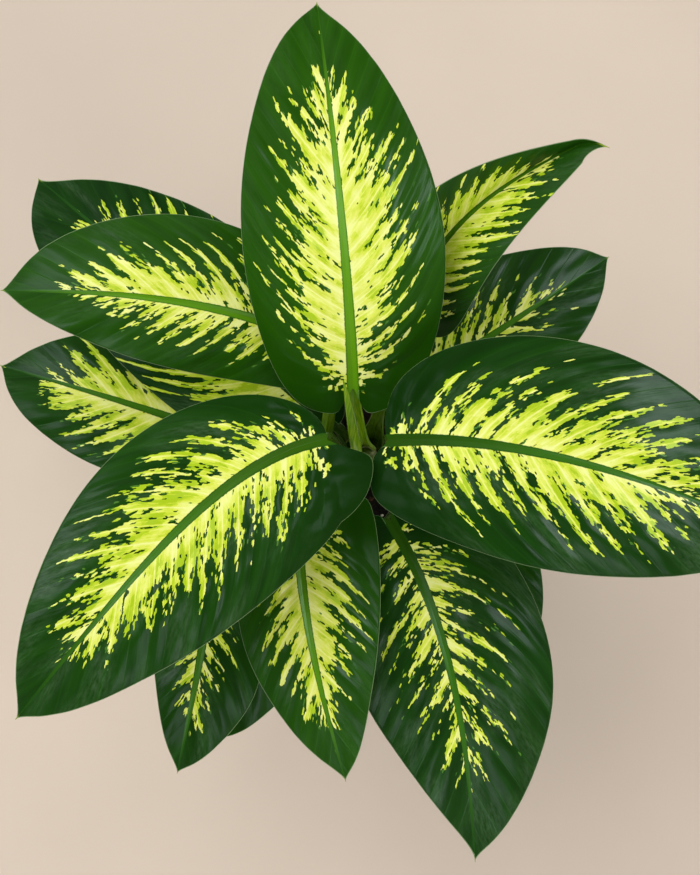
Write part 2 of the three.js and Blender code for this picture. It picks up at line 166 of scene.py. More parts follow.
def cubic(knots: Array, t: Array) -> tuple[Array, Array]:
    """Runs along a Bezier curve of four knots.

    Args:
        knots: the curve's ends and handles.
        t: places on it, 0 to 1.

    Returns:
        The points at the places and the unit directions there.
    """
    back = 1 - t
    shares = (back ** 3, 3 * t * back ** 2, 3 * t * t * back, t ** 3)
    path = sum(share * knot for share, knot in zip(shares, knots))
    shares = (back ** 2, 2 * t * back, t * t)
    along = sum(share * step for share, step in zip(shares, np.diff(knots, axis=0)))
    return path, unit(along)


def tube_faces(rings: int, size: int) -> Array:
    """Quads between rings of `size` points each, every ring closed on itself."""
    ring, point = np.meshgrid(np.arange(rings - 1), np.arange(size), indexing="ij")
    after = (point + 1) % size
    corners = [ring * size + point, ring * size + after]
    corners += [(ring + 1) * size + after, (ring + 1) * size + point]
    return np.stack(corners, -1).reshape(-1, 4)


def fan_faces(ring: Array, centre: int) -> Array:
    """Triangles from each step of a ring to one point."""
    return np.stack([ring, np.full_like(ring, centre), np.roll(ring, -1)], -1)


def added(name: str, data: Any) -> bpy.types.Object:
    """A new object in the scene with the data."""
    thing = bpy.data.objects.new(name, data)
    bpy.context.scene.collection.objects.link(thing)
    return thing


@dataclass
class Shell:
    """A closed surface: its points, its faces, and named values at its points."""

    points: Array
    faces: list[Array]
    values: dict[str, Array] = field(default_factory=dict)

    @classmethod
    def capped(cls, grid: Array, start: Any, end: Any,
               values: dict[str, Array] | None = None) -> "Shell":
        """Closes a stack of rings with a fan to one point at each end.

        Args:
            grid: the rings of points.
            start: where the first ring's fan meets.
            end: where the last ring's fan meets.
            values: named values at the grid's points; each fan's middle takes its ring's first.

        Returns:
            The closed surface.
        """
        rings, size = grid.shape[:2]
        ring = np.arange(size)
        faces = [tube_faces(rings, size), fan_faces(ring[::-1], rings * size),
                 fan_faces(ring + (rings - 1) * size, rings * size + 1)]
        return cls(np.concatenate([grid.reshape(-1, 3), [start, end]]), faces, {
            key: np.concatenate([value.reshape(-1, 3), value[0, :1], value[-1, :1]])
            for key, value in (values or {}).items()})

    def volume(self) -> float:
        """Six times the enclosed volume, negative where the faces point inwards."""
        total = 0.0
        for group in self.faces:
            for k in range(1, group.shape[1] - 1):
                a, b, c = (self.points[group[:, i]] for i in (0, k, k + 1))
                total += float(np.einsum("ij,ij->", a, np.cross(b, c)))
        return total

    def made(self, name: str, slot: Slot, material: bpy.types.Material,
             smooth: bool = True) -> bpy.types.Object:
        """Writes the shell into a new piece that rides on the plant.

        Args:
            name: the piece's name.
            slot: the material slot; not used.
            material: the finish.
            smooth: whether its faces are shaded as one smooth surface.

        Returns:
            The piece, at the origin, with its place in its mesh.
        """
        groups = self.faces if self.volume() > 0 else [g[:, ::-1] for g in self.faces]
        mesh = bpy.data.meshes.new(name)
        mesh.from_pydata(self.points * METRES, [], [f for g in groups for f in g.tolist()])
        for key, value in self.values.items():
            layer = mesh.attributes.new(key, "FLOAT_VECTOR", "POINT")
            layer.data.foreach_set("vector", value.astype(np.float32).ravel())
        mesh.polygons.foreach_set("use_smooth", np.full(len(mesh.polygons), smooth))
        mesh.materials.append(material)
        mesh.validate()
        mesh.update()
        piece = added(name, mesh)
        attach(piece, BODY)
        log.info("%s: %d points, %d faces", name, len(mesh.vertices), len(mesh.polygons))
        return piece


def sewn(piece: bpy.types.Object, sharp: float = 40.0) -> bpy.types.Object:
    """Welds a piece's coincident points, turns its faces outwards and marks its sharp edges.

    Args:
        piece: the piece.
        sharp: faces that meet at more than this many degrees keep a crisp edge.

    Returns:
        The same piece.
    """
    work = bmesh.new()
    work.from_mesh(piece.data)
    bmesh.ops.remove_doubles(work, verts=work.verts, dist=1e-6)
    bmesh.ops.recalc_face_normals(work, faces=work.faces)
    work.to_mesh(piece.data)
    work.free()
    piece.data.set_sharp_from_angle(angle=math.radians(sharp))
    return piece


# ------------------------------------------------------------------ finishes

# The output that a node passes on where it isn't the first, and the sockets of a colour mix.
PASSED_ON = {"ShaderNodeAttribute": "Vector", "ShaderNodeTexCoord": "Object", "ShaderNodeMix": 2}
MIX_SOCKETS = (0, 6, 7)
Stops = tuple[tuple[float, Any], ...]
Adder = Callable[..., bpy.types.Node]


def linear(colour: str) -> tuple[float, float, float, float]:
    """An sRGB hex colour as linear light, with full alpha."""
    parts = (int(colour[i:i + 2], 16) / 255 for i in (1, 3, 5))
    light = (c / 12.92 if c <= 0.04045 else ((c + 0.055) / 1.055) ** 2.4 for c in parts)
    return (*light, 1.0)


def add_node(tree: bpy.types.NodeTree, kind: Kind, *values: Any, stops: Stops = (),
             named: dict[str, Any] | None = None, **settings: Any) -> bpy.types.Node:
    """Adds a node with its settings and links.

    Args:
        tree: the material's nodes.
        kind: which node.
        values: for its sockets in order, a value, a hex colour, an output to link, or a node
            whose usual output is linked.
        stops: a ramp's places, each with a hex colour or a grey value.
        named: the same as values, by the socket's name.
        settings: more of the node's own properties.

    Returns:
        The new node.
    """
    suffix, preset = kind.value
    node = tree.nodes.new("ShaderNode" + suffix)
    for key, value in {**preset, **settings}.items():
        setattr(node, key, value)
    places = MIX_SOCKETS if kind is Kind.BLEND else range(len(values))
    for key, value in [*zip(places, values), *(named or {}).items()]:
        if isinstance(value, bpy.types.Node):
            value = value.outputs[PASSED_ON.get(value.bl_idname, 0)]
        if isinstance(value, bpy.types.NodeSocket):
            tree.links.new(value, node.inputs[key])
        else:
            node.inputs[key].default_value = linear(value) if isinstance(value, str) else value
    if stops:
        ramp = node.color_ramp.elements
        while len(ramp) < len(stops):
            ramp.new(0.5)
        for element, (place, tone) in zip(ramp, stops):
            element.position = place
            element.color = linear(tone) if isinstance(tone, str) else (tone,) * 3 + (1.0,)
    return node


def blank(name: str) -> tuple[bpy.types.Material, Adder]:
    """A new material with an empty node tree, and what adds nodes to it."""
    material = bpy.data.materials.new(name)
    material.use_nodes = True
    material.node_tree.nodes.clear()
    return material, partial(add_node, material.node_tree)


def surface(add: Adder, colour: Any, height: Any, strength: float, depth: float,
            look: dict[str, Any]) -> None:
    """Ends a finish with its relief, its shader and the output.

    Args:
        add: adds a node to the material.
        colour: the surface's colour.
        height: the relief.
        strength: how much of the relief shows.
        depth: the relief's depth in metres.
        look: the shader's other inputs by name.
    """
    bump = add(Kind.BUMP, named={"Strength": strength, "Distance": depth, "Height": height})
    shader = add(Kind.SHADER, named={"Base Color": colour, "Normal": bump, **look})
    add(Kind.OUTPUT, shader)


# What the points of a leaf carry, layer by layer.
CARRIED = {
    "vein": ("across", "along", "number"),
    "zone": ("share", "place", "edge"),
    "form": ("rib", "face", "stalk"),
    "trait": ("density", "youth", "reach"),
    "habit": ("gap", "tip_start"),
}
Size = tuple[float, float]


@dataclass(frozen=True)
class VariegatedLeaf:
    """Living leaf tissue under a waxy cuticle.

    The cuticle is smooth and clear, which gives a soft broad sheen over flat colour. The
    cream tissue lacks chlorophyll: it lies in small blocks of cells, drawn out along the
    lateral veins, that end in ragged fingers before the green margin.
    """

    name: str = "variegated_leaf_tissue"
    # deep and young_deep: the dark tone of the streaks, and near the leaf's base a painted shade.
    deep: str = "#0a2607"
    green: str = "#18430c"
    young: str = "#2a5d02"
    young_deep: str = "#1a4401"
    half_tone: str = "#467526"
    # A pale mottled bloom of wax and dust, which also serves as a painted sheen.
    bloom_and_sheen: str = "#6b8a66"
    margin: str = "#6c875a"
    tip: str = "#8fa32a"
    under: str = "#7fa06c"
    rib: str = "#2b5f12"
    rib_foot: str = "#153a08"
    young_rib: str = "#66a010"
    rib_edge: str = "#1d4a10"
    # Older stalks are darker green, and darker still as painted shade of the plant's middle.
    old_stalk_and_shade: str = "#24420a"
    creams: Stops = ((0.08, "#a2c01e"), (0.28, "#c2d538"), (0.52, "#d6e05f"), (1.0, "#e4eb92"))
    stalks: Stops = ((0.3, "#5f9208"), (0.5, "#7fae08"), (0.75, "#a8c828"))

    # Millimetres across and along the veins.
    block: Size = (0.8, 2.1)
    patch: Size = (7.0, 34.0)
    island: Size = (3.2, 14.0)
    speck: Size = (1.5, 5.0)
    cloud: Size = (5.5, 13.0)
    streak: Size = (7.0, 50.0)
    bloom_and_sheen_patch: Size = (22.0, 40.0)
    bloom_and_sheen_grain: Size = (1.6, 5.0)
    fleck: Size = (16.0, 1.4)
    fibre: Size = (0.9, 25.0)
    mean_pitch: float = 9.5
    edge_line: float = 0.22

    # By place along the midrib: the cream's reach, how thickly it is sown, and the wax.
    envelope: Stops = (
        (0.0, 0.2), (0.02, 0.45), (0.05, 0.62), (0.1, 0.74), (0.34, 0.8), (0.5, 0.74), (0.62, 0.6),
        (0.72, 0.36), (0.84, 0.0))
    sowing: Stops = (
        (0.0, 0.2), (0.05, 0.45), (0.16, 0.8), (0.3, 1.0), (0.52, 1.0), (0.66, 0.8), (0.76, 0.45),
        (0.86, 0.0))
    wax: Stops = ((0.0, 0.08), (0.26, 0.42))

    # A finger's length: at least, by the depth of the gaps, and by its own dice.
    finger: tuple[float, float, float] = (0.61, 0.6, 0.3)
    # Weights for cream: lead, lag, sowing, patches, islands, specks and the block's dice.
    votes: tuple[float, ...] = (2.0, 3.2, 0.75, 1.9, 2.2, 1.9, 0.5)
    majority: float = 4.06
    # Weights for paleness: youth, on, between and beside veins, near the rib, share and dice.
    pallor: tuple[float, ...] = (0.26, 0.5, 0.22, 0.26, 0.36, -0.35, 0.16)
    # Blocks that score above the first and throw above the second are half-toned.
    half_toned: tuple[float, float] = (-0.22, 0.72)
    tip_fade: float = 45.0
    backing: float = 0.55
    roughness: float = 0.25
    under_roughness: float = 0.47
    refraction: float = 1.42

    @staticmethod
    def scaled(at: SimpleNamespace, size: Size, by_block: bool = False) -> bpy.types.Node:
        """The place across and along the veins, or the block's, in units of a size."""
        place = (at.middle_across, at.middle_along) if by_block else (at.across, at.along)
        return at.add(Kind.COMBINE, *(at.add(Kind.MULTIPLY, p, 1 / s) for p, s in zip(place, size)))

    def pattern(self, at: SimpleNamespace, size: Size, detail: float, by_block: bool = False,
                rough: float = 0.5) -> bpy.types.Node:
        """A noise of a size in the veins' own coordinates.

        Args:
            at: the values at the point.
            size: millimetres across and along the veins.
            detail: octaves of finer noise.
            by_block: whether a whole block of cells takes one value.
            rough: how strong the finer octaves are.

        Returns:
            The noise.
        """
        return at.add(Kind.FLAT_NOISE, named={
            "Vector": self.scaled(at, size, by_block), "Scale": 1.0, "Detail": detail,
            "Roughness": rough})

    def cut_blocks(self, at: SimpleNamespace) -> None:
        """Finds the block of cells at each point, its dice, and where its middle lies.

        The middle's share of the half-width grows with its distance along the vein, and its
        vein number with its distance across.

        Args:
            at: the values at the point, which these join.
        """
        add = at.add
        blocks = add(Kind.CELLS, named={"Vector": self.scaled(at, self.block), "Scale": 1.0,
                                        "Randomness": 0.95})
        middle = add(Kind.SEPARATE, blocks.outputs["Position"]).outputs
        at.dice = add(Kind.SEPARATE, blocks.outputs["Color"]).outputs
        at.middle_across = add(Kind.MULTIPLY, middle[0], self.block[0])
        at.middle_along = add(Kind.MULTIPLY, middle[1], self.block[1])
        out = add(Kind.HIGHEST, add(Kind.ABSOLUTE, at.along), 0.6)
        ratio = add(Kind.DIVIDE, add(Kind.ABSOLUTE, at.middle_along), out)
        at.middle_share = add(Kind.MULTIPLY, at.share, ratio)
        moved = add(Kind.SUBTRACT, at.middle_across, at.across)
        at.middle_number = add(Kind.MULTIPLY_ADD, moved, 1 / self.mean_pitch, at.number)

    def score_cream(self, at: SimpleNamespace) -> None:
        """Decides block by block where the tissue is cream.

        Each vein carries its own finger of cream, whose end swells with the cosine of the
        place between two veins and with the finger's own dice. A block's score is the weighted
        sum of how far the finger leads or lags it, of the sowing, and of patches, islands,
        specks and its own dice; above 0 it is cream.

        Args:
            at: the values at the point, which the score joins.
        """
        add = at.add
        finger = add(Kind.DICE, add(Kind.COMBINE, add(Kind.ROUND, at.middle_number),
                                    add(Kind.SIGN, at.along)))
        swell = add(Kind.COSINE, add(Kind.MULTIPLY, at.middle_number, 2 * math.pi))
        swell = add(Kind.SUBTRACT, swell, 1.0)
        least, by_gap, by_dice = self.finger
        full = add(Kind.MULTIPLY_ADD, at.gap, by_gap, least)
        grown = add(Kind.MULTIPLY_ADD, swell, at.gap, full)
        grown = add(Kind.MULTIPLY_ADD, finger, by_dice, grown)
        extent = add(Kind.MULTIPLY, grown, add(Kind.RAMP, at.place, stops=self.envelope))
        extent = add(Kind.MULTIPLY, extent, at.reach)
        lead = add(Kind.SUBTRACT, extent, at.middle_share)
        grounds = (lead, add(Kind.LOWEST, lead, 0.0), add(Kind.RAMP, at.place, stops=self.sowing),
                   self.pattern(at, self.patch, 1.0, True),
                   self.pattern(at, self.island, 1.0, True),
                   self.pattern(at, self.speck, 0.0, True), at.dice[0])
        at.score = at.density
        for ground, weight in zip(grounds, self.votes):
            at.score = add(Kind.MULTIPLY_ADD, ground, weight, at.score)
        at.score = add(Kind.SUBTRACT, at.score, self.majority)

    def cream(self, at: SimpleNamespace) -> bpy.types.Node:
        """Cream tissue: lime clouds, palest along the veins and beside the midrib.

        Args:
            at: the values at the point, which the places beside the veins join.

        Returns:
            Its colour.
        """
        add = at.add
        at.off_vein = add(Kind.ABSOLUTE, add(Kind.SUBTRACT, at.number, add(Kind.ROUND, at.number)))
        at.on_vein = add(Kind.FADE, at.off_vein, -15.0, 1.0)
        between = add(Kind.ABSOLUTE, add(Kind.SUBTRACT, at.off_vein, 0.25))
        grounds = (at.youth, at.on_vein, add(Kind.FADE, between, -28.0, 1.0),
                   add(Kind.FADE, at.off_vein, -3.0, 1.0), add(Kind.FADE, at.share, -4.0, 1.0),
                   at.share, at.dice[1])
        pale = add(Kind.MULTIPLY_ADD, self.pattern(at, self.cloud, 2.0, True), 1.7, -0.71)
        for ground, weight in zip(grounds, self.pallor):
            pale = add(Kind.MULTIPLY_ADD, ground, weight, pale)
        return add(Kind.RAMP, pale, stops=self.creams)

    def greens(self, at: SimpleNamespace) -> bpy.types.Node:
        """Green tissue: streaked along the veins, brighter in a young leaf, with a pale bloom
        of wax and dust that also serves as a painted sheen.

        It is darker near the leaf's base, a painted shade of the leaves above, and the bloom
        fades there too; next to the cream some blocks are half-toned.

        Args:
            at: the values at the point, which the lively green joins.

        Returns:
            Its colour.
        """
        add = at.add
        depth = add(Kind.MULTIPLY_ADD, self.pattern(at, self.streak, 2.0), 1.1, -0.1)
        depth = add(Kind.FADE, at.on_vein, 0.3, depth)
        # Painted shade: towards the leaf's base the green darkens to the deep tone and the bloom
        # fades.
        risen = add(Kind.FADE, at.place, 8.0, 0.1)
        depth = add(Kind.MULTIPLY, depth, risen)
        dark_streaks_and_shade = add(Kind.BLEND, at.youth, self.deep, self.young_deep)
        at.lively = add(Kind.BLEND, at.youth, self.green, self.young)
        green = add(Kind.BLEND, depth, dark_streaks_and_shade, at.lively)
        # Bloom: pale mottling of wax and dust on older leaves, which also serves as a painted
        # sheen.
        bloom_and_sheen = add(Kind.FADE, self.pattern(at, self.bloom_and_sheen_patch, 2.0), 3.2, -1.45)
        grain = add(Kind.FADE, self.pattern(at, self.bloom_and_sheen_grain, 4.0, rough=0.65), 1.9, -0.55)
        for factor in (grain, add(Kind.MULTIPLY_ADD, at.youth, -0.3, 0.34), risen):
            bloom_and_sheen = add(Kind.MULTIPLY, bloom_and_sheen, factor)
        green = add(Kind.BLEND, bloom_and_sheen, green, self.bloom_and_sheen)
        tests = zip((at.score, at.dice[1]), self.half_toned)
        half = add(Kind.MULTIPLY, *(add(Kind.ABOVE, value, limit) for value, limit in tests))
        return add(Kind.BLEND, half, green, self.half_tone)

    def midrib(self, at: SimpleNamespace) -> bpy.types.Node:
        """The midrib's band: it fades into the blade towards the tip and darkens at its edge.

        Args:
            at: the values at the point.

        Returns:
            Its colour.
        """
        add = at.add
        old = add(Kind.RAMP, at.place, stops=((0.1, self.rib_foot), (0.4, self.rib)))
        band = add(Kind.BLEND, at.youth, old, self.young_rib)
        band = add(Kind.BLEND, add(Kind.FADE, at.place, 3.0, -1.75), band, at.lively)
        return add(Kind.BLEND, add(Kind.FADE, at.rib, 1.2, -0.8), band, self.rib_edge)

    def made(self) -> bpy.types.Material:
        """Builds the material.

        The points carry `vein` (place across and along the lateral veins, in millimetres, and
        the number of the nearest vein), `zone` (share of the half-width, the vein's foot on the
        midrib, distance to the margin), `form` (share of the midrib's half-width, face, place
        on the stalk), `trait` (density, youth, reach of the cream) and `habit` (depth of the
        gaps between the fingers, place where the lime tip begins). Cream, midrib, margin and
        tip are laid over the green in turn; the underside is paler and duller, and the stalk
        is pale green with flecks, darker on older leaves, partly as painted shade.

        Returns:
            The material.
        """
        material, add = blank(self.name)
        at = SimpleNamespace(add=add)
        for layer, names in CARRIED.items():
            parts = add(Kind.SEPARATE, add(Kind.ATTRIBUTE, attribute_name=layer)).outputs
            vars(at).update(zip(names, parts))
        self.cut_blocks(at)
        self.score_cream(at)
        cream = self.cream(at)
        tissue = self.greens(at)
        ragged = add(Kind.MULTIPLY_ADD, at.dice[2], 0.1, 1.15)
        beyond_tip = add(Kind.SUBTRACT, at.place, at.tip_start)
        for share, colour in (
                (add(Kind.ABOVE, at.score, 0.0), cream),
                (add(Kind.BELOW, at.rib, ragged), self.midrib(at)),
                (add(Kind.BELOW, at.edge, self.edge_line), self.margin),
                (add(Kind.MULTIPLY, beyond_tip, self.tip_fade, use_clamp=True), self.tip)):
            tissue = add(Kind.BLEND, share, tissue, colour)

        rod = add(Kind.RAMP, self.pattern(at, self.fleck, 3.0), stops=self.stalks)
        # Painted shade: the stalks of older leaves, deep in the plant's middle, are darkened.
        rod = add(Kind.BLEND, add(Kind.POWER, at.youth, 2.5), self.old_stalk_and_shade, rod)
        backed = add(Kind.BLEND, self.backing, tissue, self.under)
        sided = add(Kind.BLEND, at.face, backed, tissue)
        whole = add(Kind.BLEND, at.stalk, sided, rod)

        crease = add(Kind.FADE, at.off_vein, -30.0, 1.0)
        relief = add(Kind.MULTIPLY_ADD, crease, -1.2, self.pattern(at, self.fibre, 2.0))
        smoother = self.roughness - self.under_roughness
        surface(add, whole, relief, 0.2, 0.0003, {
            "Roughness": add(Kind.MULTIPLY_ADD, at.face, smoother, self.under_roughness),
            "IOR": self.refraction,
            "Specular IOR Level": add(Kind.RAMP, at.place, stops=self.wax)})
        return material


@dataclass(frozen=True)
class CaneSkin:
    """Green-brown stem skin, smooth and waxy, with corky rings where leaves have dropped."""

    name: str = "stem_skin"
    skins: Stops = ((0.35, "#6f8440"), (0.65, "#93a35c"))
    cork: str = "#8a7a54"
    mottling: tuple[float, float, float] = (400.0, 400.0, 90.0)  # waves in a metre
    roughness: float = 0.5

    def made(self) -> bpy.types.Material:
        """Builds the material; `ring` carries the closeness to a leaf scar.

        Returns:
            The material.
        """
        material, add = blank(self.name)
        place = add(Kind.MAPPING, named={"Vector": add(Kind.COORDINATE), "Scale": self.mottling})
        mottle = add(Kind.NOISE, named={"Vector": place, "Scale": 1.0, "Detail": 4.0})
        ring = add(Kind.SEPARATE, add(Kind.ATTRIBUTE, attribute_name="ring"))
        colour = add(Kind.BLEND, ring, add(Kind.RAMP, mottle, stops=self.skins), self.cork)
        surface(add, colour, mottle, 0.3, 0.0005, {"Roughness": self.roughness})
        return material


@dataclass(frozen=True)
class Moulded:
    """Injection-moulded polypropylene, charcoal: even colour, a fine eggshell gloss."""

    name: str = "moulded_polypropylene"
    tones: Stops = ((0.5, "#33363a"), (0.75, "#3f4245"))
    smoothest: float = 0.31
    scuffed: float = 0.22
    refraction: float = 1.49

    def made(self) -> bpy.types.Material:
        """Builds the material; the mould's spark-eroded grain is drawn 0.5 mm wide.

        Returns:
            The material.
        """
        material, add = blank(self.name)
        place = add(Kind.COORDINATE)
        grain = add(Kind.NOISE, named={"Vector": place, "Scale": 2000.0, "Detail": 2.0})
        scuffs = add(Kind.NOISE, named={"Vector": place, "Scale": 45.0, "Detail": 5.0,
                                        "Roughness": 0.7})
        gloss = add(Kind.MULTIPLY_ADD, scuffs, self.scuffed, self.smoothest)
        surface(add, add(Kind.RAMP, scuffs, stops=self.tones), grain, 0.15, 0.0002,
                {"Roughness": gloss, "IOR": self.refraction})
        return material


@dataclass(frozen=True)
class Loose:
    """A dry, matt stuff in loose lumps: one pattern gives both its tones and its relief.

    The pattern is a noise, or the product of two, each with its waves in a metre, its detail
    and its roughness.
    """

    name: str
    tones: Stops
    noises: tuple[tuple[float, float, float], ...]
    strength: float
    depth: float
    roughness: float

    def made(self) -> bpy.types.Material:
        """Builds the material.

        Returns:
            The material.
        """
        material, add = blank(self.name)
        place = add(Kind.COORDINATE)
        noises = [
            add(Kind.NOISE, named={"Vector": place, "Scale": scale, "Detail": detail,
                                   "Roughness": rough}) for scale, detail, rough in self.noises]
        grain = noises[0] if len(noises) == 1 else add(Kind.MULTIPLY, *noises)
        surface(add, add(Kind.RAMP, grain, stops=self.tones), grain, self.strength, self.depth,
                {"Roughness": self.roughness})
        return material


# Moist peat compost: dark, matt and crumbly, of 1 mm grains in 5 mm crumbs, with paler fibres.
PEAT = Loose("peat_compost", ((0.14, "#090604"), (0.3, "#160e09"), (0.45, "#3a2b1e")),
             ((900.0, 3.0, 0.7), (180.0, 4.0, 0.65)), 0.9, 0.002, 0.95)
# Chipped pine bark: red-brown, dry and fibrous, with fibres 1.5 mm wide.
BARK = Loose("chipped_bark", ((0.35, "#24150c"), (0.65, "#5a3820")), ((700.0, 4.0, 0.7),), 0.8,
             0.001, 0.88)
# Expanded volcanic glass: white and full of tiny pores, so quite matt. The pores, 0.1 mm in the
# real grain, are drawn 0.8 mm wide.
PERLITE = Loose("expanded_perlite", ((0.35, "#a8a294"), (0.55, "#dcd8cc")), ((1250.0, 2.0, 0.5),),
                0.6, 0.0005, 0.9)


# ------------------------------------------------------------------ canes


@dataclass
class Cane:
    """One upright stem, ringed by old leaf scars."""

    name: str
    x: float
    y: float
    radius: float
    top: float
    lowest_leaf: float
    foot: float = 50.0
    first_node: float = 136.0
    node_spacing: float = 24.0
    node_swell: float = 0.9
    node_lean: float = 1.2
    scar_height: float = 1.5
    tip_shrink: float = 0.55
    tip_rounding: float = 3.0
    unevenness: float = 0.12
    wave_length: float = 14.0
    segments: int = 72
    steps: int = 260

    def radius_at(self, height: Array | float) -> Array:
        """Keeps the stem's radius up to the lowest leaf, then thins it to the growing tip."""
        climbed = np.maximum(height, self.lowest_leaf) - self.lowest_leaf
        climbed = climbed / (self.top - self.lowest_leaf)
        return self.radius * mix(1, self.tip_shrink, climbed ** 1.5)

    def nodes(self) -> Array:
        """Heights of the old leaf scars on the bare stem."""
        last = self.lowest_leaf - self.node_spacing / 2
        return np.arange(self.first_node, last, self.node_spacing)

    def build(self, material: bpy.types.Material) -> bpy.types.Object:
        """Turns the stem: radius as a function of height and angle.

        A scar is a ridge, a bell curve in height, whose plane leans a little to one side, a
        golden angle further round at each scar. Above the last ring the tip closes in a
        quarter round.

        Args:
            material: the stem's finish.

        Returns:
            The piece.
        """
        angle = np.linspace(0, 2 * np.pi, self.segments, endpoint=False)
        shoulder = self.top - self.tip_rounding
        h, a = np.meshgrid(np.linspace(self.foot, shoulder, self.steps), angle, indexing="ij")
        ring = np.zeros_like(h)
        for k, node in enumerate(self.nodes()):
            middle = node + self.node_lean * np.cos(a - np.radians(GOLDEN_ANGLE * k))
            ring = np.maximum(ring, np.exp(-(((h - middle) / self.scar_height) ** 2)))
        place = np.stack([h / self.wave_length, np.cos(a), np.sin(a)], -1)
        uneven = self.unevenness * waves(place, seed=int(self.top))
        turn = np.linspace(0, np.pi / 2, 10)[1:-1, None] + 0 * angle
        tip_radius = float(self.radius_at(shoulder)) - self.unevenness
        r = np.concatenate([self.radius_at(h) + self.node_swell * ring + uneven,
                            tip_radius * np.cos(turn)])
        h = np.concatenate([h, self.top - self.tip_rounding * (1 - np.sin(turn))])
        grid = np.stack([self.x + r * np.cos(angle), self.y + r * np.sin(angle), h], -1)
        closeness = np.zeros(grid.shape)
        closeness[:self.steps, :, 0] = ring
        shell = Shell.capped(grid, (self.x, self.y, self.foot), (self.x, self.y, self.top),
                             {"ring": closeness})
        piece = shell.made(f"{self.name}_stem", Slot.CANE, material)
        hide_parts(self.name)
        return piece


# ------------------------------------------------------------------ pot and soil


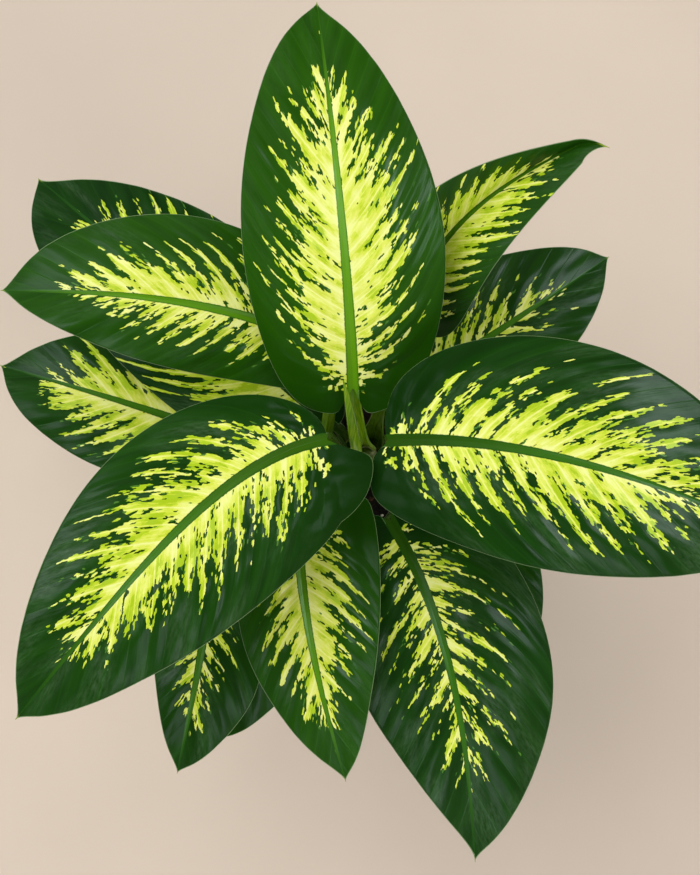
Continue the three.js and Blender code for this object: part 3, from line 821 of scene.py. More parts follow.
@dataclass
class Pot:
    """Tapered nursery pot with an upright band, a rounded rim and drain holes in its floor."""

    rim_radius: float = 85.0
    base_radius: float = 61.0
    height: float = 150.0
    wall: float = 2.2
    floor: float = 3.0
    band_height: float = 22.0
    band_step: float = 3.5
    step_rise: float = 1.2
    rim_draft: float = 1.2
    corner_cuts: tuple[float, ...] = (1.2, 0.5, 0.4, 1.6, 1.5, 0.5, 0.5, 1.5)
    corner_hold: float = 0.3
    drain_holes: int = 8
    drain_radius: float = 5.0
    drain_circle: float = 46.0
    drain_inner: float = 38.0
    drain_outer: float = 54.0
    drain_edge: float = 0.6
    arc_steps: int = 24
    side_steps: int = 4
    gate_radius: float = 4.0

    def radius_at(self, height: Array | float) -> Array | float:
        """Outside radius of the tapered wall, without the band."""
        taper = self.rim_radius - self.band_step - self.base_radius
        return self.base_radius + taper * height / self.height

    def inner_radius(self, height: float) -> float:
        """Inside radius of the tapered wall."""
        return float(self.radius_at(height)) - self.wall

    def profile(self) -> Array:
        """The wall's section, from the floor's underside up outside and down to its top.

        Each corner is cut by a quadratic curve, and a point close before and after each curve
        keeps the flats between them flat.

        Returns:
            Radius and height of each point.
        """
        band = self.height - self.band_height
        wall = self.radius_at(band)
        step, risen = wall + self.band_step, band + self.step_rise
        corners = np.array([
            [self.drain_outer, 0], [self.base_radius, 0], [wall, band], [step, risen],
            [self.rim_radius, self.height],
            [self.rim_radius - self.rim_draft - self.wall, self.height],
            [step - self.wall, risen], [wall - self.wall, band],
            [self.radius_at(self.floor) - self.wall, self.floor], [self.drain_outer, self.floor]])
        cut = np.array(self.corner_cuts)[:, None, None]
        turned = corners[1:-1, None]
        before = unit(corners[:-2] - corners[1:-1])[:, None]
        after = unit(corners[2:] - corners[1:-1])[:, None]
        t = np.linspace(0, 1, 7)[None, :, None]
        curve = turned + cut * ((1 - t) ** 2 * before + t ** 2 * after)
        held = cut + self.corner_hold
        held = np.concatenate([turned + before * held, curve, turned + after * held], 1)
        return np.concatenate([corners[:1], held.reshape(-1, 2), corners[-1:]])

    def turned(self, profile: Array) -> tuple[Array, Array]:
        """Turns an open profile about the pot's axis: its points, and its faces."""
        size = self.drain_holes * self.arc_steps
        around = compass(np.arange(size) * 360 / size - 180 / self.drain_holes)
        points = around[None] * profile[:, None, :1] + UP * profile[:, None, 1:]
        return points.reshape(-1, 3), tube_faces(len(profile), size)

    def drained(self) -> tuple[Array, Array]:
        """The ring of floor with the drain holes.

        The ring is cut into equal sectors with one hole each. Rays from a hole's middle join
        the hole's round to the sector's outline, on the floor's top, through the hole, and
        back along the underside. The hole's two edges are rounded.

        Returns:
            The points and the faces.
        """
        half = 180 / self.drain_holes
        arc = np.linspace(-half, half, self.arc_steps + 1)
        side = np.linspace(self.drain_outer, self.drain_inner, self.side_steps + 2)[1:-1, None]
        edge = compass(np.full(self.side_steps, half))
        outline = np.concatenate([
            self.drain_outer * compass(arc), side * edge,
            self.drain_inner * compass(arc[::-1]), side[::-1] * edge * (1, -1, 1)])
        middle = np.array([self.drain_circle, 0, 0])
        rays = unit(outline - middle)
        rounding = np.array([1, 0.3, 0, 0, 0.3, 1])[:, None, None]
        depth = self.floor - np.array([0, 0.3, 1, 4, 4.7, 5]) * self.drain_edge
        hole = middle + rays[None] * (self.drain_radius + self.drain_edge * rounding)
        hole = hole + UP * depth[:, None, None]
        top = outline + UP * self.floor
        rings = np.concatenate([
            [top, (top + hole[0]) / 2], hole, [(outline + hole[-1]) / 2, outline]])
        turn = np.radians(np.arange(self.drain_holes) * 2 * half)[:, None, None]
        x, y, z = rings[..., 0], rings[..., 1], rings[..., 2]
        every = np.stack(np.broadcast_arrays(x * np.cos(turn) - y * np.sin(turn),
                                             x * np.sin(turn) + y * np.cos(turn), z), -1)
        faces = tube_faces(len(rings), len(outline))
        offset = np.arange(self.drain_holes) * x.size
        return every.reshape(-1, 3), (faces[None] + offset[:, None, None]).reshape(-1, 4)

    def build(self, material: bpy.types.Material) -> bpy.types.Object:
        """Joins the wall, the drained ring and the floor's middle with its gate mark.

        Args:
            material: the pot's finish.

        Returns:
            The piece.
        """
        gate = self.gate_radius
        over = np.array([[self.drain_inner, self.floor], [20, self.floor], [0.01, self.floor]])
        beneath = np.array([[self.drain_inner, 0], [gate + 0.8, 0], [gate + 0.4, 0.08],
                            [gate, 0.4], [1.6, 0.4], [1.3, 0.32], [1.1, 0.1], [0.01, 0.1]])
        parts = [self.turned(self.profile()), self.drained(), self.turned(over),
                 self.turned(beneath)]
        starts = np.cumsum([0] + [len(points) for points, _ in parts])
        faces = [group + start for (_, group), start in zip(parts, starts)]
        # A fan closes the last ring of each of the floor's two middles.
        poles = [[0, 0, self.floor], [0, 0, beneath[-1, 1]]]
        size = self.drain_holes * self.arc_steps
        for k, end in enumerate(starts[-2:]):
            faces.append(fan_faces(end - size + np.arange(size), starts[-1] + k))
        points = np.concatenate([points for points, _ in parts] + [poles])
        piece = sewn(Shell(points, faces).made("nursery_pot", Slot.POT, material))
        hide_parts("pot")
        return piece


@dataclass(frozen=True)
class Crumbs:
    """A kind of small lump that lies on the soil, with its numbers and sizes."""

    name: str
    count: int
    size: tuple[float, float]
    squash: tuple[float, float, float]
    rough: float
    sunk: float
    seed: int
    finish: Loose


@dataclass
class Soil:
    """Potting soil: a lumpy mound round the canes, with crumbs, bark and perlite on it."""

    pot: Pot
    canes: list[Cane]
    edge: float = 123.0
    crown: float = 130.0
    bottom: float = 3.3
    gap: float = 0.5
    # Each kind of lump's length, height and seed.
    lumps: tuple[tuple[float, float, int], ...] = ((14, 1.0, 5), (6, 0.7, 6), (3, 0.45, 7))
    firmed: float = 1.8
    firmed_reach: float = 6.0
    wall_drop: float = 1.5
    wall_reach: float = 5.0
    rings: int = 84
    segments: int = 240
    kinds: tuple[Crumbs, ...] = (
        Crumbs("peat_crumbs", 420, (1.2, 3.4), (1.0, 0.85, 0.7), 0.3, 0.25, 1, PEAT),
        Crumbs("bark_chips", 70, (2.6, 6.5), (1.0, 0.6, 0.28), 0.25, 0.2, 2, BARK),
        Crumbs("perlite_grains", 54, (0.9, 2.0), (1.0, 0.9, 0.8), 0.15, 0.3, 3, PERLITE),
    )

    def height_at(self, place: Array) -> Array:
        """Height of the soil at each place.

        A flat dome, lumps of three lengths, a slight rise where it is firmed against each
        cane, and a drop at the pot's wall.

        Args:
            place: points in the level plane.

        Returns:
            One height per point.
        """
        out = np.linalg.norm(place, axis=-1)
        inside = self.pot.inner_radius(self.edge)
        height = mix(self.crown, self.edge, np.clip(out / inside, 0, 1) ** 2)
        for length, size, seed in self.lumps:
            height = height + size * waves(place / length, seed)
        for cane in self.canes:
            beside = np.linalg.norm(place - np.array([cane.x, cane.y]), axis=-1) - cane.radius
            height = height + self.firmed * np.exp(-((beside / self.firmed_reach) ** 2))
        return height - self.wall_drop * smoothstep(out, inside - self.wall_reach, inside)

    def mound(self, material: bpy.types.Material) -> bpy.types.Object:
        """Builds the soil as one closed body: its lumpy top, its side in the pot and its foot.

        Args:
            material: the soil's finish.

        Returns:
            The piece.
        """
        share = np.linspace(1, 0, self.rings, endpoint=False)[:, None, None]
        around = compass(np.arange(self.segments) * 360 / self.segments)
        top = around[None] * share * (self.pot.inner_radius(self.edge) - self.gap)
        top = top + UP * self.height_at(top[..., :2])[..., None]
        side = np.array([[self.pot.inner_radius(height) - self.gap, height]
                         for height in (self.bottom, self.edge - 6)])
        wall = around[None] * side[:, None, :1] + UP * side[:, None, 1:]
        crown = float(self.height_at(np.zeros(2)))
        shell = Shell.capped(np.concatenate([wall, top]), (0, 0, self.bottom), (0, 0, crown))
        piece = shell.made("soil_mound", Slot.SOIL, material)
        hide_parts("potting_soil")
        return piece

    def scattered(self, kind: Crumbs, material: bpy.types.Material) -> bpy.types.Object:
        """Strews one kind of lump over the soil as one piece of small closed bodies.

        Each lump is a ball of 32 faces, squashed, roughened by its own noise, turned about
        all three axes and sunk a little into the soil. The ball is an octahedron whose faces
        are each cut in four, with all its points pushed out to radius 1.

        Args:
            kind: which lumps.
            material: their finish.

        Returns:
            The piece.
        """
        octants = np.array(np.meshgrid([1, -1], [1, -1], [1, -1])).reshape(3, -1).T
        corners = octants[:, None] * np.eye(3)
        middles = corners + np.roll(corners, -1, 1)
        quarters = [[0, 3, 5], [3, 1, 4], [5, 4, 2], [3, 4, 5]]
        cut = np.concatenate([corners, middles], 1)[:, quarters]
        cut = np.where((octants.prod(1) < 0)[:, None, None, None], cut[:, :, ::-1], cut)
        ball, faces = np.unique(cut.reshape(-1, 3), axis=0, return_inverse=True)
        ball, faces = unit(ball), faces.reshape(-1, 3)
        dice = np.random.default_rng(kind.seed)
        reach = self.pot.inner_radius(self.edge) - self.wall_reach
        place = dice.uniform(-reach, reach, (6 * kind.count, 2))
        clear = np.linalg.norm(place, axis=1) < reach
        for cane in self.canes:
            beside = np.linalg.norm(place - np.array([cane.x, cane.y]), axis=1)
            clear &= beside > cane.radius + kind.size[1] * 0.8
        place = place[clear][:kind.count]
        count = len(place)
        size = dice.uniform(*kind.size, count) * dice.uniform(0.6, 1.0, count)
        turn = np.linalg.qr(np.eye(3) + dice.normal(0, 0.45, (count, 3, 3)))[0]
        turn[np.linalg.det(turn) < 0, :, 2] *= -1
        spin = dice.uniform(0, 2 * np.pi, count)
        flat = np.zeros((count, 3, 3))
        flat[:, 0] = np.stack([np.cos(spin), -np.sin(spin), 0 * spin], -1)
        flat[:, 1] = np.stack([np.sin(spin), np.cos(spin), 0 * spin], -1)
        flat[:, 2] = UP
        bumpy = 1 + kind.rough * dice.uniform(-1, 1, (count, len(ball)))
        lumps = ball * np.array(kind.squash) * bumpy[..., None] * size[:, None, None]
        lumps = lumps @ (flat @ turn).transpose(0, 2, 1)
        rest = self.height_at(place) + size * kind.squash[2] * (1 - 2 * kind.sunk)
        lumps = lumps + np.concatenate([place, rest[:, None]], 1)[:, None]
        every = (faces[None] + len(ball) * np.arange(count)[:, None, None]).reshape(-1, 3)
        piece = Shell(lumps.reshape(-1, 3), [every]).made(
            kind.name, Slot.SOIL, material, smooth=kind.rough < 0.2)
        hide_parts("potting_soil")
        return piece

    def build(self) -> None:
        """Builds the mound, of the first kind's stuff, and strews each kind of lump over it."""
        finishes = [kind.finish.made() for kind in self.kinds]
        self.mound(finishes[0])
        for kind, finish in zip(self.kinds, finishes):
            self.scattered(kind, finish)


# ------------------------------------------------------------------ leaves

# Cotangent of the angle between a lateral vein and the midrib, by the place of its foot.
VEIN_COTANGENTS = np.array([
    (-0.12, -6), (-0.03, -3), (0, -0.9), (0.03, 0.05), (0.065, 0.3), (0.15, 0.5), (0.34, 0.85),
    (0.5, 1.25), (0.62, 1.8), (0.8, 2.6), (1, 4)])


@dataclass(frozen=True)
class Half:
    """One half of a blade: half-width, and what shapes its outline."""

    width: float
    taper: float
    fill: float = 0.5
    lobe: float = 0.1
    ear: float = 0.01
    fold: float = 8.0
    fall: float = 0.0
    point: float = 0.03
    lobe_place: float = 0.09
    ear_start: float = 0.0015
    ear_end: float = 0.05

    def outline(self, xi: Array) -> Array:
        """Half-width: x^fill (1-x)^taper over its peak, times a drawn-out tip."""
        widest = self.fill / (self.fill + self.taper)
        peak = widest ** self.fill * (1 - widest) ** self.taper
        share = xi ** self.fill * (1 - xi) ** self.taper / peak
        return self.width * (share * (1 - np.exp(-(1 - xi) / self.point)))

    def lobes(self, xi: Array) -> Array:
        """How far the margin lies behind xi: a rounded lobe, and an ear beside the stalk."""
        rounded = self.lobe * (xi / self.lobe_place) * np.exp(1 - xi / self.lobe_place)
        started = 1 - np.exp(-xi / self.ear_start)
        return rounded + self.ear * started * np.exp(-xi / self.ear_end)


@dataclass(frozen=True)
class Looks:
    """How a leaf is coloured.

    Density and reach of the cream, its youth, the depth of the gaps between the fingers, and
    the place where the lime tip begins.
    """

    density: float = 0.0
    youth: float = 0.3
    reach: float = 1.0
    gap: float = 0.28
    tip: float = 0.978


@dataclass
class Leaf:
    """A whole leaf: blade, midrib, channelled stalk and the sheath that clasps the cane."""

    number: int
    cane: int
    node: float
    foot: float
    junction: tuple[float, float, float]
    length: float
    azimuth: float
    swerve: float
    rise: float
    droop: float
    left: Half
    right: Half
    looks: Looks = Looks()
    lean: float = 0.12
    climb: float = 0.42
    arrive: float = 65.0
    run_in: float = 0.35
    bend: float = 1.0
    turn: float = 2.0
    curl: float = 12.0
    wave: float = 2.0
    wave_count: float = 2.5
    unevenness: float = 1.3
    hook: float = 0.0
    hook_start: float = 0.88
    thickness: float = 0.6
    edge_thickness: float = 0.22
    rod_radius: float = 4.2
    rod_angle: float = 125.0
    channel: float = 0.9
    groove: float = 0.75
    lip: float = 0.25
    wing: float = 0.5
    sheath: float = 2.4
    sheath_angle: float = 62.0
    keel_end: float = 0.24
    keel_reach: float = 0.85
    keel_rise: float = 0.1
    rib_width: float = 0.82
    vein_start: float = 0.1
    vein_sweep: float = 2.2
    vein_curve: float = 1.25
    vein_bend: float = 0.3
    vein_hook: float = 0.35
    vein_pitch: float = 9.5
    vein_lag: float = 0.37
    vein_width: float = 1.1
    pleat: float = 0.26
    stations_count: int = 401
    rows: int = 230
    rod_rings: int = 44
    rib_columns: int = 12
    blade_columns: int = 34

    def __post_init__(self) -> None:
        """Sums the midrib's stations in short straight steps."""
        self.widest = max(self.left.width, self.right.width)
        self.stations = np.linspace(0, 1, self.stations_count)
        pitch = np.radians(self.rise - self.droop * self.stations ** self.bend)
        hooked = np.maximum(0, self.stations - self.hook_start) / (1 - self.hook_start)
        swerved = self.swerve * (1 - self.stations) ** self.turn
        heading = compass(self.azimuth + swerved + self.hook * hooked)
        self.along = heading * np.cos(pitch)[:, None] + UP * np.sin(pitch)[:, None]
        self.side = np.cross(UP, heading)
        steps = (self.along[1:] + self.along[:-1]) * self.length / (2 * self.stations_count - 2)
        self.spine = np.concatenate([[[0, 0, 0]], np.cumsum(steps, 0)]) + self.junction

    def midrib(self, s: Array) -> tuple[Array, Array, Array, Array]:
        """The midrib's frames; before its base it runs straight on.

        Args:
            s: places along it, as shares of its length.

        Returns:
            Point, direction, left and normal at each place.
        """
        held = np.clip(s, 0, 1)

        def at(table: Array) -> Array:
            """The table's rows interpolated at the held places."""
            return np.stack([np.interp(held, self.stations, column) for column in table.T], -1)

        along, left = unit(at(self.along)), unit(at(self.side))
        point = at(self.spine) + along * (np.minimum(s, 0) * self.length)[..., None]
        return point, along, left, np.cross(along, left)

    def vein_foot(self, xi: Array) -> Array:
        """Where on the midrib the line starts that meets the margin at xi."""
        return self.vein_start * xi + (1 - self.vein_start) * xi ** self.vein_sweep

    def veins(self, s: Array, x: Array) -> tuple[Array, Array, Array]:
        """Finds the lateral vein through each point of the blade.

        A vein leaves the midrib at an angle that is wide at the base and narrow at the tip, and
        bends forward, most near the margin: s = foot + (cot(angle) x + bend x^2 / width +
        hook x^4 / width^3) / length. The foot is found by halving an interval. The place across
        the veins is the integral of the sine of the angle along the midrib, so that it is in
        true millimetres beside the midrib.

        Args:
            s: places along the midrib, as shares of its length.
            x: distances from it in millimetres.

        Returns:
            The vein's foot as a share of the midrib, the place across the veins and the
            distance along the vein, both in millimetres.
        """
        width = self.widest
        bent = self.vein_bend * x ** 2 / width + self.vein_hook * x ** 4 / width ** 3
        bent = s - bent / self.length
        table = np.linspace(VEIN_COTANGENTS[0, 0], 1, 561)
        cot = np.interp(table, *VEIN_COTANGENTS.T)
        low, high = np.full(x.shape, table[0]), np.ones(x.shape)
        for _ in range(22):
            foot = (low + high) / 2
            short = foot + np.interp(foot, table, cot) * x / self.length < bent
            low, high = np.where(short, foot, low), np.where(short, high, foot)
        sine = 1 / np.sqrt(1 + cot ** 2)
        across = np.concatenate([[0], np.cumsum((sine[1:] + sine[:-1]) / 2)])
        across = across * (table[1] - table[0]) * self.length
        return foot, np.interp(foot, table, across), x / np.interp(foot, table, sine)

    def keel_radius(self, s: Array) -> Array:
        """Radius of the keel, which thins evenly and then runs out to the tip."""
        body = self.rod_radius * mix(1, self.keel_end, np.clip(s / self.keel_reach, 0, 1))
        return body * (1 - 0.7 * smoothstep(s, self.keel_reach, 1))

    def columns(self) -> tuple[Array, Array]:
        """Signed places across the midrib and across the blade, -1 to 1, of the columns."""
        rib, blade = self.rib_columns, self.blade_columns
        on_rib = np.concatenate([np.arange(rib + 1) / rib, np.ones(blade)])
        on_blade = np.concatenate([np.zeros(rib + 1), (np.arange(1, blade + 1) / blade) ** 0.9])
        return tuple(np.concatenate([-half[:0:-1], half]) for half in (on_rib, on_blade))

    def blade_loops(self, xi: Array) -> tuple[Array, dict[str, Array]]:
        """Closed cross-sections of the blade, one for each xi.

        The middle surface is the same as the solid's: a line of one xi leaves the midrib at
        vein_foot(xi) and curves forward to the margin with |q|^vein_curve; each half lifts by
        its fold and bends down by `curl` towards a waving margin. On it lie the pleats: along
        each lateral vein the blade dips by `pleat`. The upper face is half the thickness above
        it, and the under face as far below, apart from the round keel under the midrib.

        Args:
            xi: places along the margin, from base to tip.

        Returns:
            The points, one closed loop per xi, and the values that the finish reads.
        """
        rib_place, blade_place = self.columns()
        sign = np.sign(rib_place)
        is_left = sign >= 0
        xi = xi[:, None]
        halves = (self.left, self.right)
        full, lobe, fold, fall = (np.where(is_left, *pair) for pair in zip(*(
            (half.outline(xi), half.lobes(xi), half.fold, half.fall) for half in halves)))
        centre_s = self.vein_foot(xi)
        keel_radius = self.keel_radius(centre_s)
        radius = np.minimum(keel_radius, 0.45 * np.maximum(full, 0.05))
        radius = np.where(centre_s < 0.05, keel_radius, radius)
        rib_half = self.rib_width * radius
        reach = np.maximum(full, rib_half + 0.2)
        x = np.abs(rib_place) * rib_half + np.abs(blade_place) * (reach - rib_half)
        share = x / reach
        s = centre_s + (xi - lobe - centre_s) * share ** self.vein_curve
        point, _, left, normal = self.midrib(s)
        angle = np.radians(fold - self.curl * x / self.widest)

        # The margin's waves, the pleats, the fall of a half's outer part, and unevenness.
        phase = 2 * np.pi * self.wave_count * xi + np.where(is_left, 0, 1.3)
        lift = self.wave * share ** 2 * np.sin(phase) * np.minimum(1, x / 10)
        origin, across, run = self.veins(s, np.minimum(x, full + 0.5))
        number = across / self.vein_pitch + self.vein_lag * is_left + 50.0 * self.number
        off_vein = np.abs((number + 0.5) % 1 - 0.5) * self.vein_pitch
        pleats = -0.6 * np.exp(-((off_vein / self.vein_width) ** 2)) - np.cos(2 * np.pi * number)
        fade = smoothstep(x, 2.0, 14.0) * (1 - 0.6 * smoothstep(share, 0.75, 1.0))
        fade = fade * (1 - smoothstep(xi, 0.75, 1))
        place = np.stack([number / 3, share + 0 * number], -1)
        uneven = 1 + 0.8 * waves(place, seed=40 + self.number, count=3)
        lift = lift + self.pleat * pleats * uneven * fade * smoothstep(xi, 0.02, 0.15)
        lift = lift - fall * smoothstep(share, 0.5, 1) * np.sin(np.pi * xi)
        place = np.stack(np.broadcast_arrays(xi * self.length / 70, x * sign / 45), -1)
        uneven = self.unevenness * waves(place, seed=self.number)
        lift = lift + uneven * smoothstep(x, 3.0, 20.0) * (1 - 0.5 * share)

        lateral = sign[:, None] * left
        turn = angle * smoothstep(x, 0, 6)
        tilted = normal * np.cos(turn)[..., None] - lateral * np.sin(turn)[..., None]
        middle = point + lateral * (x * np.cos(angle))[..., None]
        middle = middle + normal * (x * np.sin(angle) + lift)[..., None]
        half_thick = mix(self.edge_thickness, self.thickness, 1 - share ** 6) / 2
        on_rib = np.clip(1 - x / rib_half, 0, 1)
        groove = self.groove * (1 - smoothstep(centre_s, 0, 0.8))
        groove = groove * np.sin(0.5 * np.pi * on_rib) ** 1.5
        upper = middle + tilted * (half_thick - groove)[..., None]

        turned = np.radians(self.rod_angle) * np.abs(rib_place)
        keel = point + lateral * (radius * np.sin(turned))[..., None]
        keel = keel + normal * (self.keel_rise - radius - radius * np.cos(turned))[..., None]
        under = middle - tilted * half_thick[..., None]
        is_keel = (np.abs(rib_place) < 1) | (blade_place == 0)
        under = np.where(is_keel[:, None], keel, under)
        run = np.where(is_left, run, -run)
        vein = np.stack([across + 400.0 * self.number, run, number], -1)
        zone = np.stack([share, origin, reach * (1 - share)], -1)
        return self.loops(upper, under), self.blade_values(vein, zone, x / rib_half)

    @staticmethod
    def loops(upper: Array, under: Array) -> Array:
        """Joins upper faces, right to left, and under faces, left to right, into loops."""
        return np.concatenate([upper, under[:, ::-1]], 1)

    def blade_values(self, vein: Array, zone: Array, rib: Array) -> dict[str, Array]:
        """The values that the leaf's finish reads, on both faces of the blade."""
        forms = [np.stack([rib, np.full_like(rib, face.value), np.zeros_like(rib)], -1)
                 for face in (Face.UPPER, Face.UNDER)]
        return {"vein": self.loops(vein, vein), "zone": self.loops(zone, zone),
                "form": self.loops(*forms)}

    @staticmethod
    def arc(radius: Array | float, angle: Array) -> Array:
        """Points on an arc, as [away, sideways] pairs."""
        return np.stack([radius * np.cos(angle), radius * np.sin(angle)], -1)

    def rod_sections(self, inner: float) -> tuple[Array, Array]:
        """Loops of the sheath and of the channelled rod, as [away, sideways] pairs.

        The sheath is an arc of the cane's radius inside and a thicker arc outside, thinning at
        its two free edges. The rod is a round side, with a shallow channel between two lips.

        Args:
            inner: radius that the sheath clasps.

        Returns:
            The sheath's loop and the rod's loop.
        """
        rib_place, blade_place = self.columns()
        spread = np.radians(self.sheath_angle) * (0.8 * rib_place + 0.2 * blade_place)
        thick = self.sheath * (1 - 0.8 * np.abs(blade_place) ** 1.5)
        sheath = np.concatenate([self.arc(inner, spread), self.arc(inner + thick, spread)[::-1]])

        turned = np.radians(self.rod_angle)
        edge_x, edge_y = self.rod_radius * np.cos(turned), self.rod_radius * np.sin(turned)
        dip = self.channel * np.cos(0.5 * np.pi * rib_place)
        rise = self.wing * np.abs(blade_place)
        floor = np.stack([edge_x + self.lip + dip - rise,
                          edge_y * rib_place - 0.1 * np.sign(rib_place)], -1)
        back = self.arc(self.rod_radius, turned * rib_place) - np.stack([rise, 0 * rise], -1)
        return sheath, np.concatenate([floor, back[::-1]])

    def build(self, cane: Cane, material: bpy.types.Material) -> bpy.types.Object:
        """Makes the leaf as one closed surface, from the sheath over the stalk to the tip.

        The stalk's centre line is a cubic curve from the cane to the midrib's base. Its loops
        blend from the sheath to the rod, and over the last stretch to the blade's first loop.

        Args:
            cane: the cane that the sheath clasps.
            material: the leaf's finish.

        Returns:
            The piece.
        """
        even = np.linspace(0, 1, self.rows)
        xi = 0.7 * (1 - np.cos(np.pi * even)) / 2 + 0.3 * even
        xi = xi * (1 - np.exp(-xi / 0.02))
        blade, values = self.blade_loops(np.clip(xi, 1e-6, 0.9995))

        point, along0, left0, normal0 = (v[0] for v in self.midrib(np.zeros(1)))
        end = point + normal0 * (self.keel_rise - self.rod_radius)
        first = blade[0] - end
        section0 = np.stack([-first @ normal0, first @ left0], -1)

        foot = np.array([cane.x, cane.y, self.node])
        span = np.linalg.norm(end - foot)
        outward = compass(self.foot)
        pitch = np.radians(self.arrive)
        arrival = outward * np.cos(pitch) + UP * np.sin(pitch)
        leaving = foot + (UP * self.climb + outward * self.lean) * span
        t = np.linspace(0, 1, self.rod_rings, endpoint=False)[:, None]
        path, along = cubic([foot, leaving, end - arrival * self.run_in * span, end], t)
        closed = smoothstep(t, 0.05, 0.5)
        meets = smoothstep(t, 0.78, 1.0)
        along = unit(mix(UP, along, closed))
        along = unit(mix(along, along0, meets))
        left = mix(np.cross(UP, outward), left0, smoothstep(t, 0, 1))
        normal = unit(np.cross(along, left))
        side = np.cross(normal, along)
        sheath, rod = self.rod_sections(float(cane.radius_at(self.node)) + 0.3)
        section = mix(sheath[None], rod[None], closed[..., None])
        section = mix(section, section0[None], meets[..., None])
        loops = path[:, None] - normal[:, None] * section[..., :1]
        loops = loops + side[:, None] * section[..., 1:]

        size = blade.shape[1]
        below = np.linalg.norm(path - end, axis=1)[:, None] * np.ones(size)
        flat = np.broadcast_to(values["form"][0], (*below.shape, 3)).copy()
        flat[..., 2] = 1 - meets
        on_stalk = {
            "vein": np.stack([400.0 * self.number - below, section[..., 1], 0 * below], -1),
            "zone": 0 * below[..., None] + (1, 0, 5),
            "form": flat,
        }
        grid = np.concatenate([loops, blade])
        carried = {key: np.concatenate([on_stalk[key], values[key]]) for key in values}
        looks = self.looks
        for key, value in (("trait", (looks.density, looks.youth, looks.reach)),
                           ("habit", (looks.gap, looks.tip, 0))):
            carried[key] = np.broadcast_to(value, grid.shape)
        shell = Shell.capped(grid, loops[0].mean(0), self.midrib(np.ones(1))[0][0], carried)
        # The sheath's section is hollow, so its foot is closed by quads from inside to outside.
        column = np.arange(size // 2 - 1)
        shell.faces[1] = np.stack([column, column + 1, size - 2 - column, size - 1 - column], -1)
        piece = shell.made(f"grown_leaf_{self.number:02d}", Slot.LEAF, material)
        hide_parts(f"leaf_{self.number:02d}")
        return piece


@dataclass
class Spear:
    """The next leaf, still rolled up, that rises out of the youngest leaf's sheath."""

    knots: tuple[tuple[float, float, float], ...] = (
        (-4, 7, 292), (-6, 1, 372), (-5, 18, 412), (-14.2, 56, 431))
    radius: float = 3.6
    point: float = 0.3
    step: float = 0.55
    twist: float = 0.7
    start: float = 0.35
    youth: float = 0.76
    rings: int = 180
    segments: int = 72

    def build(self, material: bpy.types.Material) -> bpy.types.Object:
        """Rolls the leaf round a cubic curve.

        The section is a spiral: its radius falls by `step` over one turn, which leaves the
        rolled edge as a crisp line, and that edge winds `twist` times round the length. The
        radius swells a little and then runs out to the point with 1 - t^7.

        Args:
            material: the leaf's finish.

        Returns:
            The piece.
        """
        t = np.linspace(0, 1, self.rings)[:, None]
        path, along = cubic(np.array(self.knots), t)
        front = unit(np.cross(along, np.array([1.0, 0.0, 0.0])))
        side = np.cross(along, front)
        share = np.arange(self.segments) / (self.segments - 1)
        body = self.radius * (0.9 + 0.15 * np.sin(np.pi * t)) * (1 - t ** 7) + self.point
        r = body * (1 - self.step / self.radius * share)
        turn = 2 * np.pi * (share + self.twist * t + self.start)
        grid = path[:, None] + front[:, None] * (r * np.cos(turn))[..., None]
        grid = grid + side[:, None] * (r * np.sin(turn))[..., None]
        run = np.linalg.norm(path - path[-1], axis=1)[:, None]
        flat = np.zeros(grid.shape)
        shell = Shell.capped(grid, path[0], path[-1] + along[-1] * self.point, {
            "vein": np.stack(np.broadcast_arrays(-run, 6 * share * body, 0 * run), -1),
            "zone": flat + (1, 0.3, 5),
            "form": flat + (0, Face.UPPER.value, 1),
            "trait": flat + (0, self.youth, 1),
            "habit": flat,
        })
        return shell.made("rolled_new_leaf", Slot.LEAF, material)


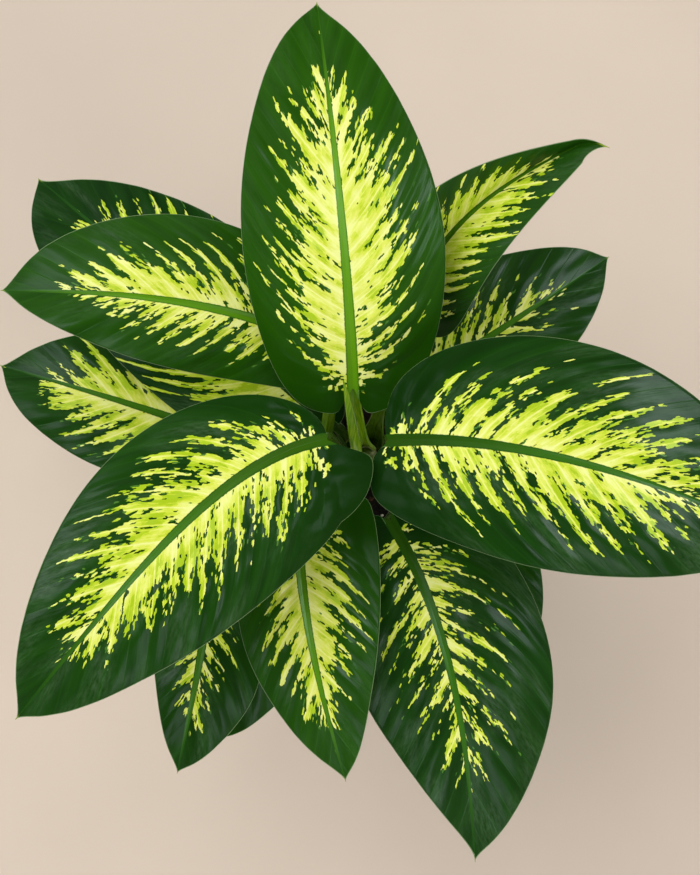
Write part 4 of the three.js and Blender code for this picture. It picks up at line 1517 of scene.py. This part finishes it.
@dataclass
class Plant:
    """The canes and their leaves."""

    canes: list[Cane] = field(default_factory=lambda: [
        Cane("cane_tall", 1, 7, 10, 300, lowest_leaf=198),
        Cane("cane_right", 27, -14, 8.5, 272, lowest_leaf=214),
        Cane("cane_left", -21, -17, 9.5, 282, lowest_leaf=184),
    ])
    leaves: list[Leaf] = field(default_factory=lambda: [
        Leaf(1, 0, 288, 92, (-8, 51, 412), 252, 97, -5, 32, 50,
             Half(63, 0.7, 0.45, 0.06, 0.07, 12), Half(63, 0.89, 0.53, 0.06, 0.07, 12, fall=7),
             Looks(0.22, 0.8, 1.0, 0.21), lean=0, arrive=72, bend=0.8, wave=1.5, vein_pitch=8.5),
        Leaf(2, 0, 264, 205, (-24, 19, 450), 274, 230, -41, 24, 46,
             Half(68, 0.85, 0.42, 0.08, 0.105), Half(60, 0.94, 0.62, 0, 0),
             Looks(-0.02, 0.2, 1.0, 0.17), lean=0.1, arrive=84, bend=0.7, turn=4, vein_pitch=10),
        Leaf(3, 0, 242, -35, (13, 18, 436), 262, -22, 26, 28, 48,
             Half(72, 0.74, 0.51, 0.013, 0.002), Half(69, 0.71, lobe=0.09, ear=0.03),
             Looks(0.0, 0.1, 1.0, 0.31), lean=0.13, arrive=88, bend=0.8, vein_pitch=11),
        Leaf(4, 2, 270, 122, (-24, 78, 397), 222, 178, -24, 20, 40,
             Half(43, 0.92, 0.63, 0.17), Half(56, 0.85, 0.73, 0.12),
             Looks(0.0, 0.6, 0.95, 0.27), lean=0.2, climb=0.45, vein_pitch=9),
        Leaf(5, 0, 222, 65, (30, 94, 370), 192, 24, 64, 34, 28,
             Half(47, 1.3, 0.4, 0.03, fold=57), Half(44, 0.81, 0.4, 0.03, fold=43),
             Looks(0.4, 0.5, 1.15, 0.22, 0.945), climb=0.55, arrive=40, curl=10, wave=1,
             hook=-55, vein_pitch=8),
        Leaf(6, 1, 258, -55, (17, -36, 360), 247, 275, 27, 20, 42,
             Half(68, 1.05, 0.78, 0.14), Half(63, 1.4, 0.85, 0.12),
             Looks(-0.45, 0.1, 0.95, 0.34), arrive=85, bend=0.8, vein_pitch=11),
        Leaf(7, 2, 248, 225, (-44, -29, 383), 184, 285, -15, 20, 40,
             Half(52, 0.84, 0.25, 0.12), Half(44, 1.1, 0.65, 0.09),
             Looks(0.2, 0.6, 1.0, 0.24), arrive=82, vein_pitch=9),
        Leaf(8, 1, 236, 55, (17, 45, 298), 188, 34, -2, 22, 36, Half(52, 0.78), Half(50, 0.79),
             Looks(-0.4, 0.2, 1.0), arrive=70),
        Leaf(9, 0, 198, 168, (-23, 29, 282), 280, 140, 0, 20, 40,
             Half(64, 0.5, 0.32, 0.04), Half(62, 1.05, 0.94, 0.05),
             Looks(0.3, 0.0, 1.25), lean=0.22),
        Leaf(10, 2, 204, 155, (-74, 11, 275), 200, 164, -6, 15, 30,
             Half(50, 0.7, 0.66), Half(58, 0.94, 0.57), Looks(0.35, 0.2, 1.0)),
        Leaf(11, 2, 226, 225, (-108, -81, 300), 143, 257, 8, 10, 30,
             Half(44, 1, 0.7), Half(33, 1.04), Looks(-0.3, 0.2, 0.8)),
        Leaf(12, 1, 214, -15, (76, -25, 285), 150, 283, 0, 10, 30,
             Half(38, 0.9), Half(40, 0.9), Looks(-0.2, 0.2, 0.9)),
        Leaf(13, 2, 184, 240, (-45, -71, 258), 150, 243, 0, 10, 30,
             Half(38, 0.75), Half(38, 0.75), Looks(-0.3, 0.4, 0.8)),
    ])

    def build(self) -> None:
        """Builds the canes and every leaf."""
        skin = CaneSkin().made()
        for cane in self.canes:
            cane.build(skin)
        tissue = VariegatedLeaf().made()
        for leaf in self.leaves:
            leaf.build(self.canes[leaf.cane], tissue)
        Spear().build(tissue)


# ------------------------------------------------------------------ stage


@dataclass(frozen=True)
class Lamp:
    """One square soft light that faces the plant and serves one kind of ray.

    Its place and size are in metres, its power in watts.
    """

    name: str
    place: tuple[float, float, float]
    size: float
    power: float
    colour: str
    rays: Rays

    def hang(self, aim: tuple[float, float, float]) -> None:
        """Adds the light to the scene.

        Args:
            aim: where it faces.
        """
        data = bpy.data.lights.new(self.name, "AREA")
        data.size = self.size
        data.energy = self.power
        data.color = linear(self.colour)[:3]
        lamp = added(self.name, data)
        lamp.location = self.place
        facing = Vector(aim) - Vector(self.place)
        lamp.rotation_euler = facing.to_track_quat("-Z", "Y").to_euler()
        lamp.visible_diffuse = self.rays is Rays.DIFFUSE
        lamp.visible_glossy = self.rays is Rays.GLOSSY


@dataclass
class Studio:
    """Plain pale floor, soft light from the upper left, and the camera straight above."""

    paint: Stops = ((0.3, "#d3c4b6"), (0.7, "#d6c7b9"))
    paint_roughness: float = 0.7
    floor_size: float = 8.0
    floor_drop: float = 0.0003
    heaven: Stops = ((0.0, 1.0), (0.25, 0.8), (0.5, 0.3), (0.75, 0.06), (1.0, 0.02))
    sky: float = 1.6
    mirrored: float = 0.32
    camera: tuple[float, float, float] = (-0.010, 0.020, 1.5)
    lens: float = 70.0
    clip: tuple[float, float] = (0.01, 20.0)
    aim: tuple[float, float, float] = (0, 0, 0.3)
    lamps: tuple[Lamp, ...] = (
        Lamp("key", (-1.05, 1.15, 2.6), 2.6, 72.0, "#fffdf8", Rays.DIFFUSE),
        Lamp("front", (1.3, -1.4, 1.7), 2.2, 31.0, "#fff8ee", Rays.DIFFUSE),
        Lamp("sheen_right", (1.0, 0.27, 2.02), 0.7, 7.0, "#ecf4ff", Rays.GLOSSY),
        Lamp("sheen_front", (0.1, -1.3, 1.95), 0.7, 2.5, "#ecf4ff", Rays.GLOSSY),
        Lamp("sheen_left", (-1.35, -0.1, 1.95), 0.7, 3.5, "#ecf4ff", Rays.GLOSSY),
    )

    def lay_floor(self) -> None:
        """Lays the painted floor, just below the pot's foot."""
        half, level = self.floor_size / 2, -self.floor_drop
        mesh = bpy.data.meshes.new("floor")
        corners = [(x * half, y * half, level) for x, y in ((-1, -1), (1, -1), (1, 1), (-1, 1))]
        mesh.from_pydata(corners, [], [(0, 1, 2, 3)])
        material, add = blank("painted_floor")
        cloud = add(Kind.NOISE, named={"Vector": add(Kind.COORDINATE), "Scale": 8.0, "Detail": 3.0})
        tone = add(Kind.RAMP, cloud, stops=self.paint)
        shader = add(Kind.SHADER, named={"Base Color": tone, "Roughness": self.paint_roughness})
        add(Kind.OUTPUT, shader)
        mesh.materials.append(material)
        floor = added("floor", mesh)

    def light_sky(self) -> None:
        """Lights the world, brightest low down and dimmer where it is mirrored."""
        world = bpy.data.worlds.new("studio")
        world.use_nodes = True
        tree = world.node_tree
        add = partial(add_node, tree)
        height = add(Kind.SEPARATE, add(Kind.COORDINATE).outputs["Generated"]).outputs[2]
        glossy = add(Kind.RAY).outputs["Is Glossy Ray"]
        strength = add(Kind.MULTIPLY_ADD, glossy, self.mirrored - self.sky, self.sky)
        background = tree.nodes["Background"]
        for key, node in enumerate((add(Kind.RAMP, height, stops=self.heaven), strength)):
            tree.links.new(node.outputs[0], background.inputs[key])
        bpy.context.scene.world = world

    def build(self) -> None:
        """Lays the floor and sets up the lights, the sky and the camera."""
        self.lay_floor()
        for lamp in self.lamps:
            lamp.hang(self.aim)
        self.light_sky()
        data = bpy.data.cameras.new("camera")
        data.lens = self.lens
        data.clip_start, data.clip_end = self.clip
        camera = added("camera", data)
        camera.location = self.camera
        bpy.context.scene.camera = camera
        bpy.context.scene.view_settings.view_transform = "Standard"


def main() -> None:
    """Builds every piece in order; each logs its counts of points and faces."""
    logging.basicConfig(level=logging.INFO, format="%(name)s: %(message)s")
    Studio().build()
    pot, plant = Pot(), Plant()
    pot.build(Moulded().made())
    Soil(pot, plant.canes).build()
    plant.build()


if __name__ == "__main__":
    main()
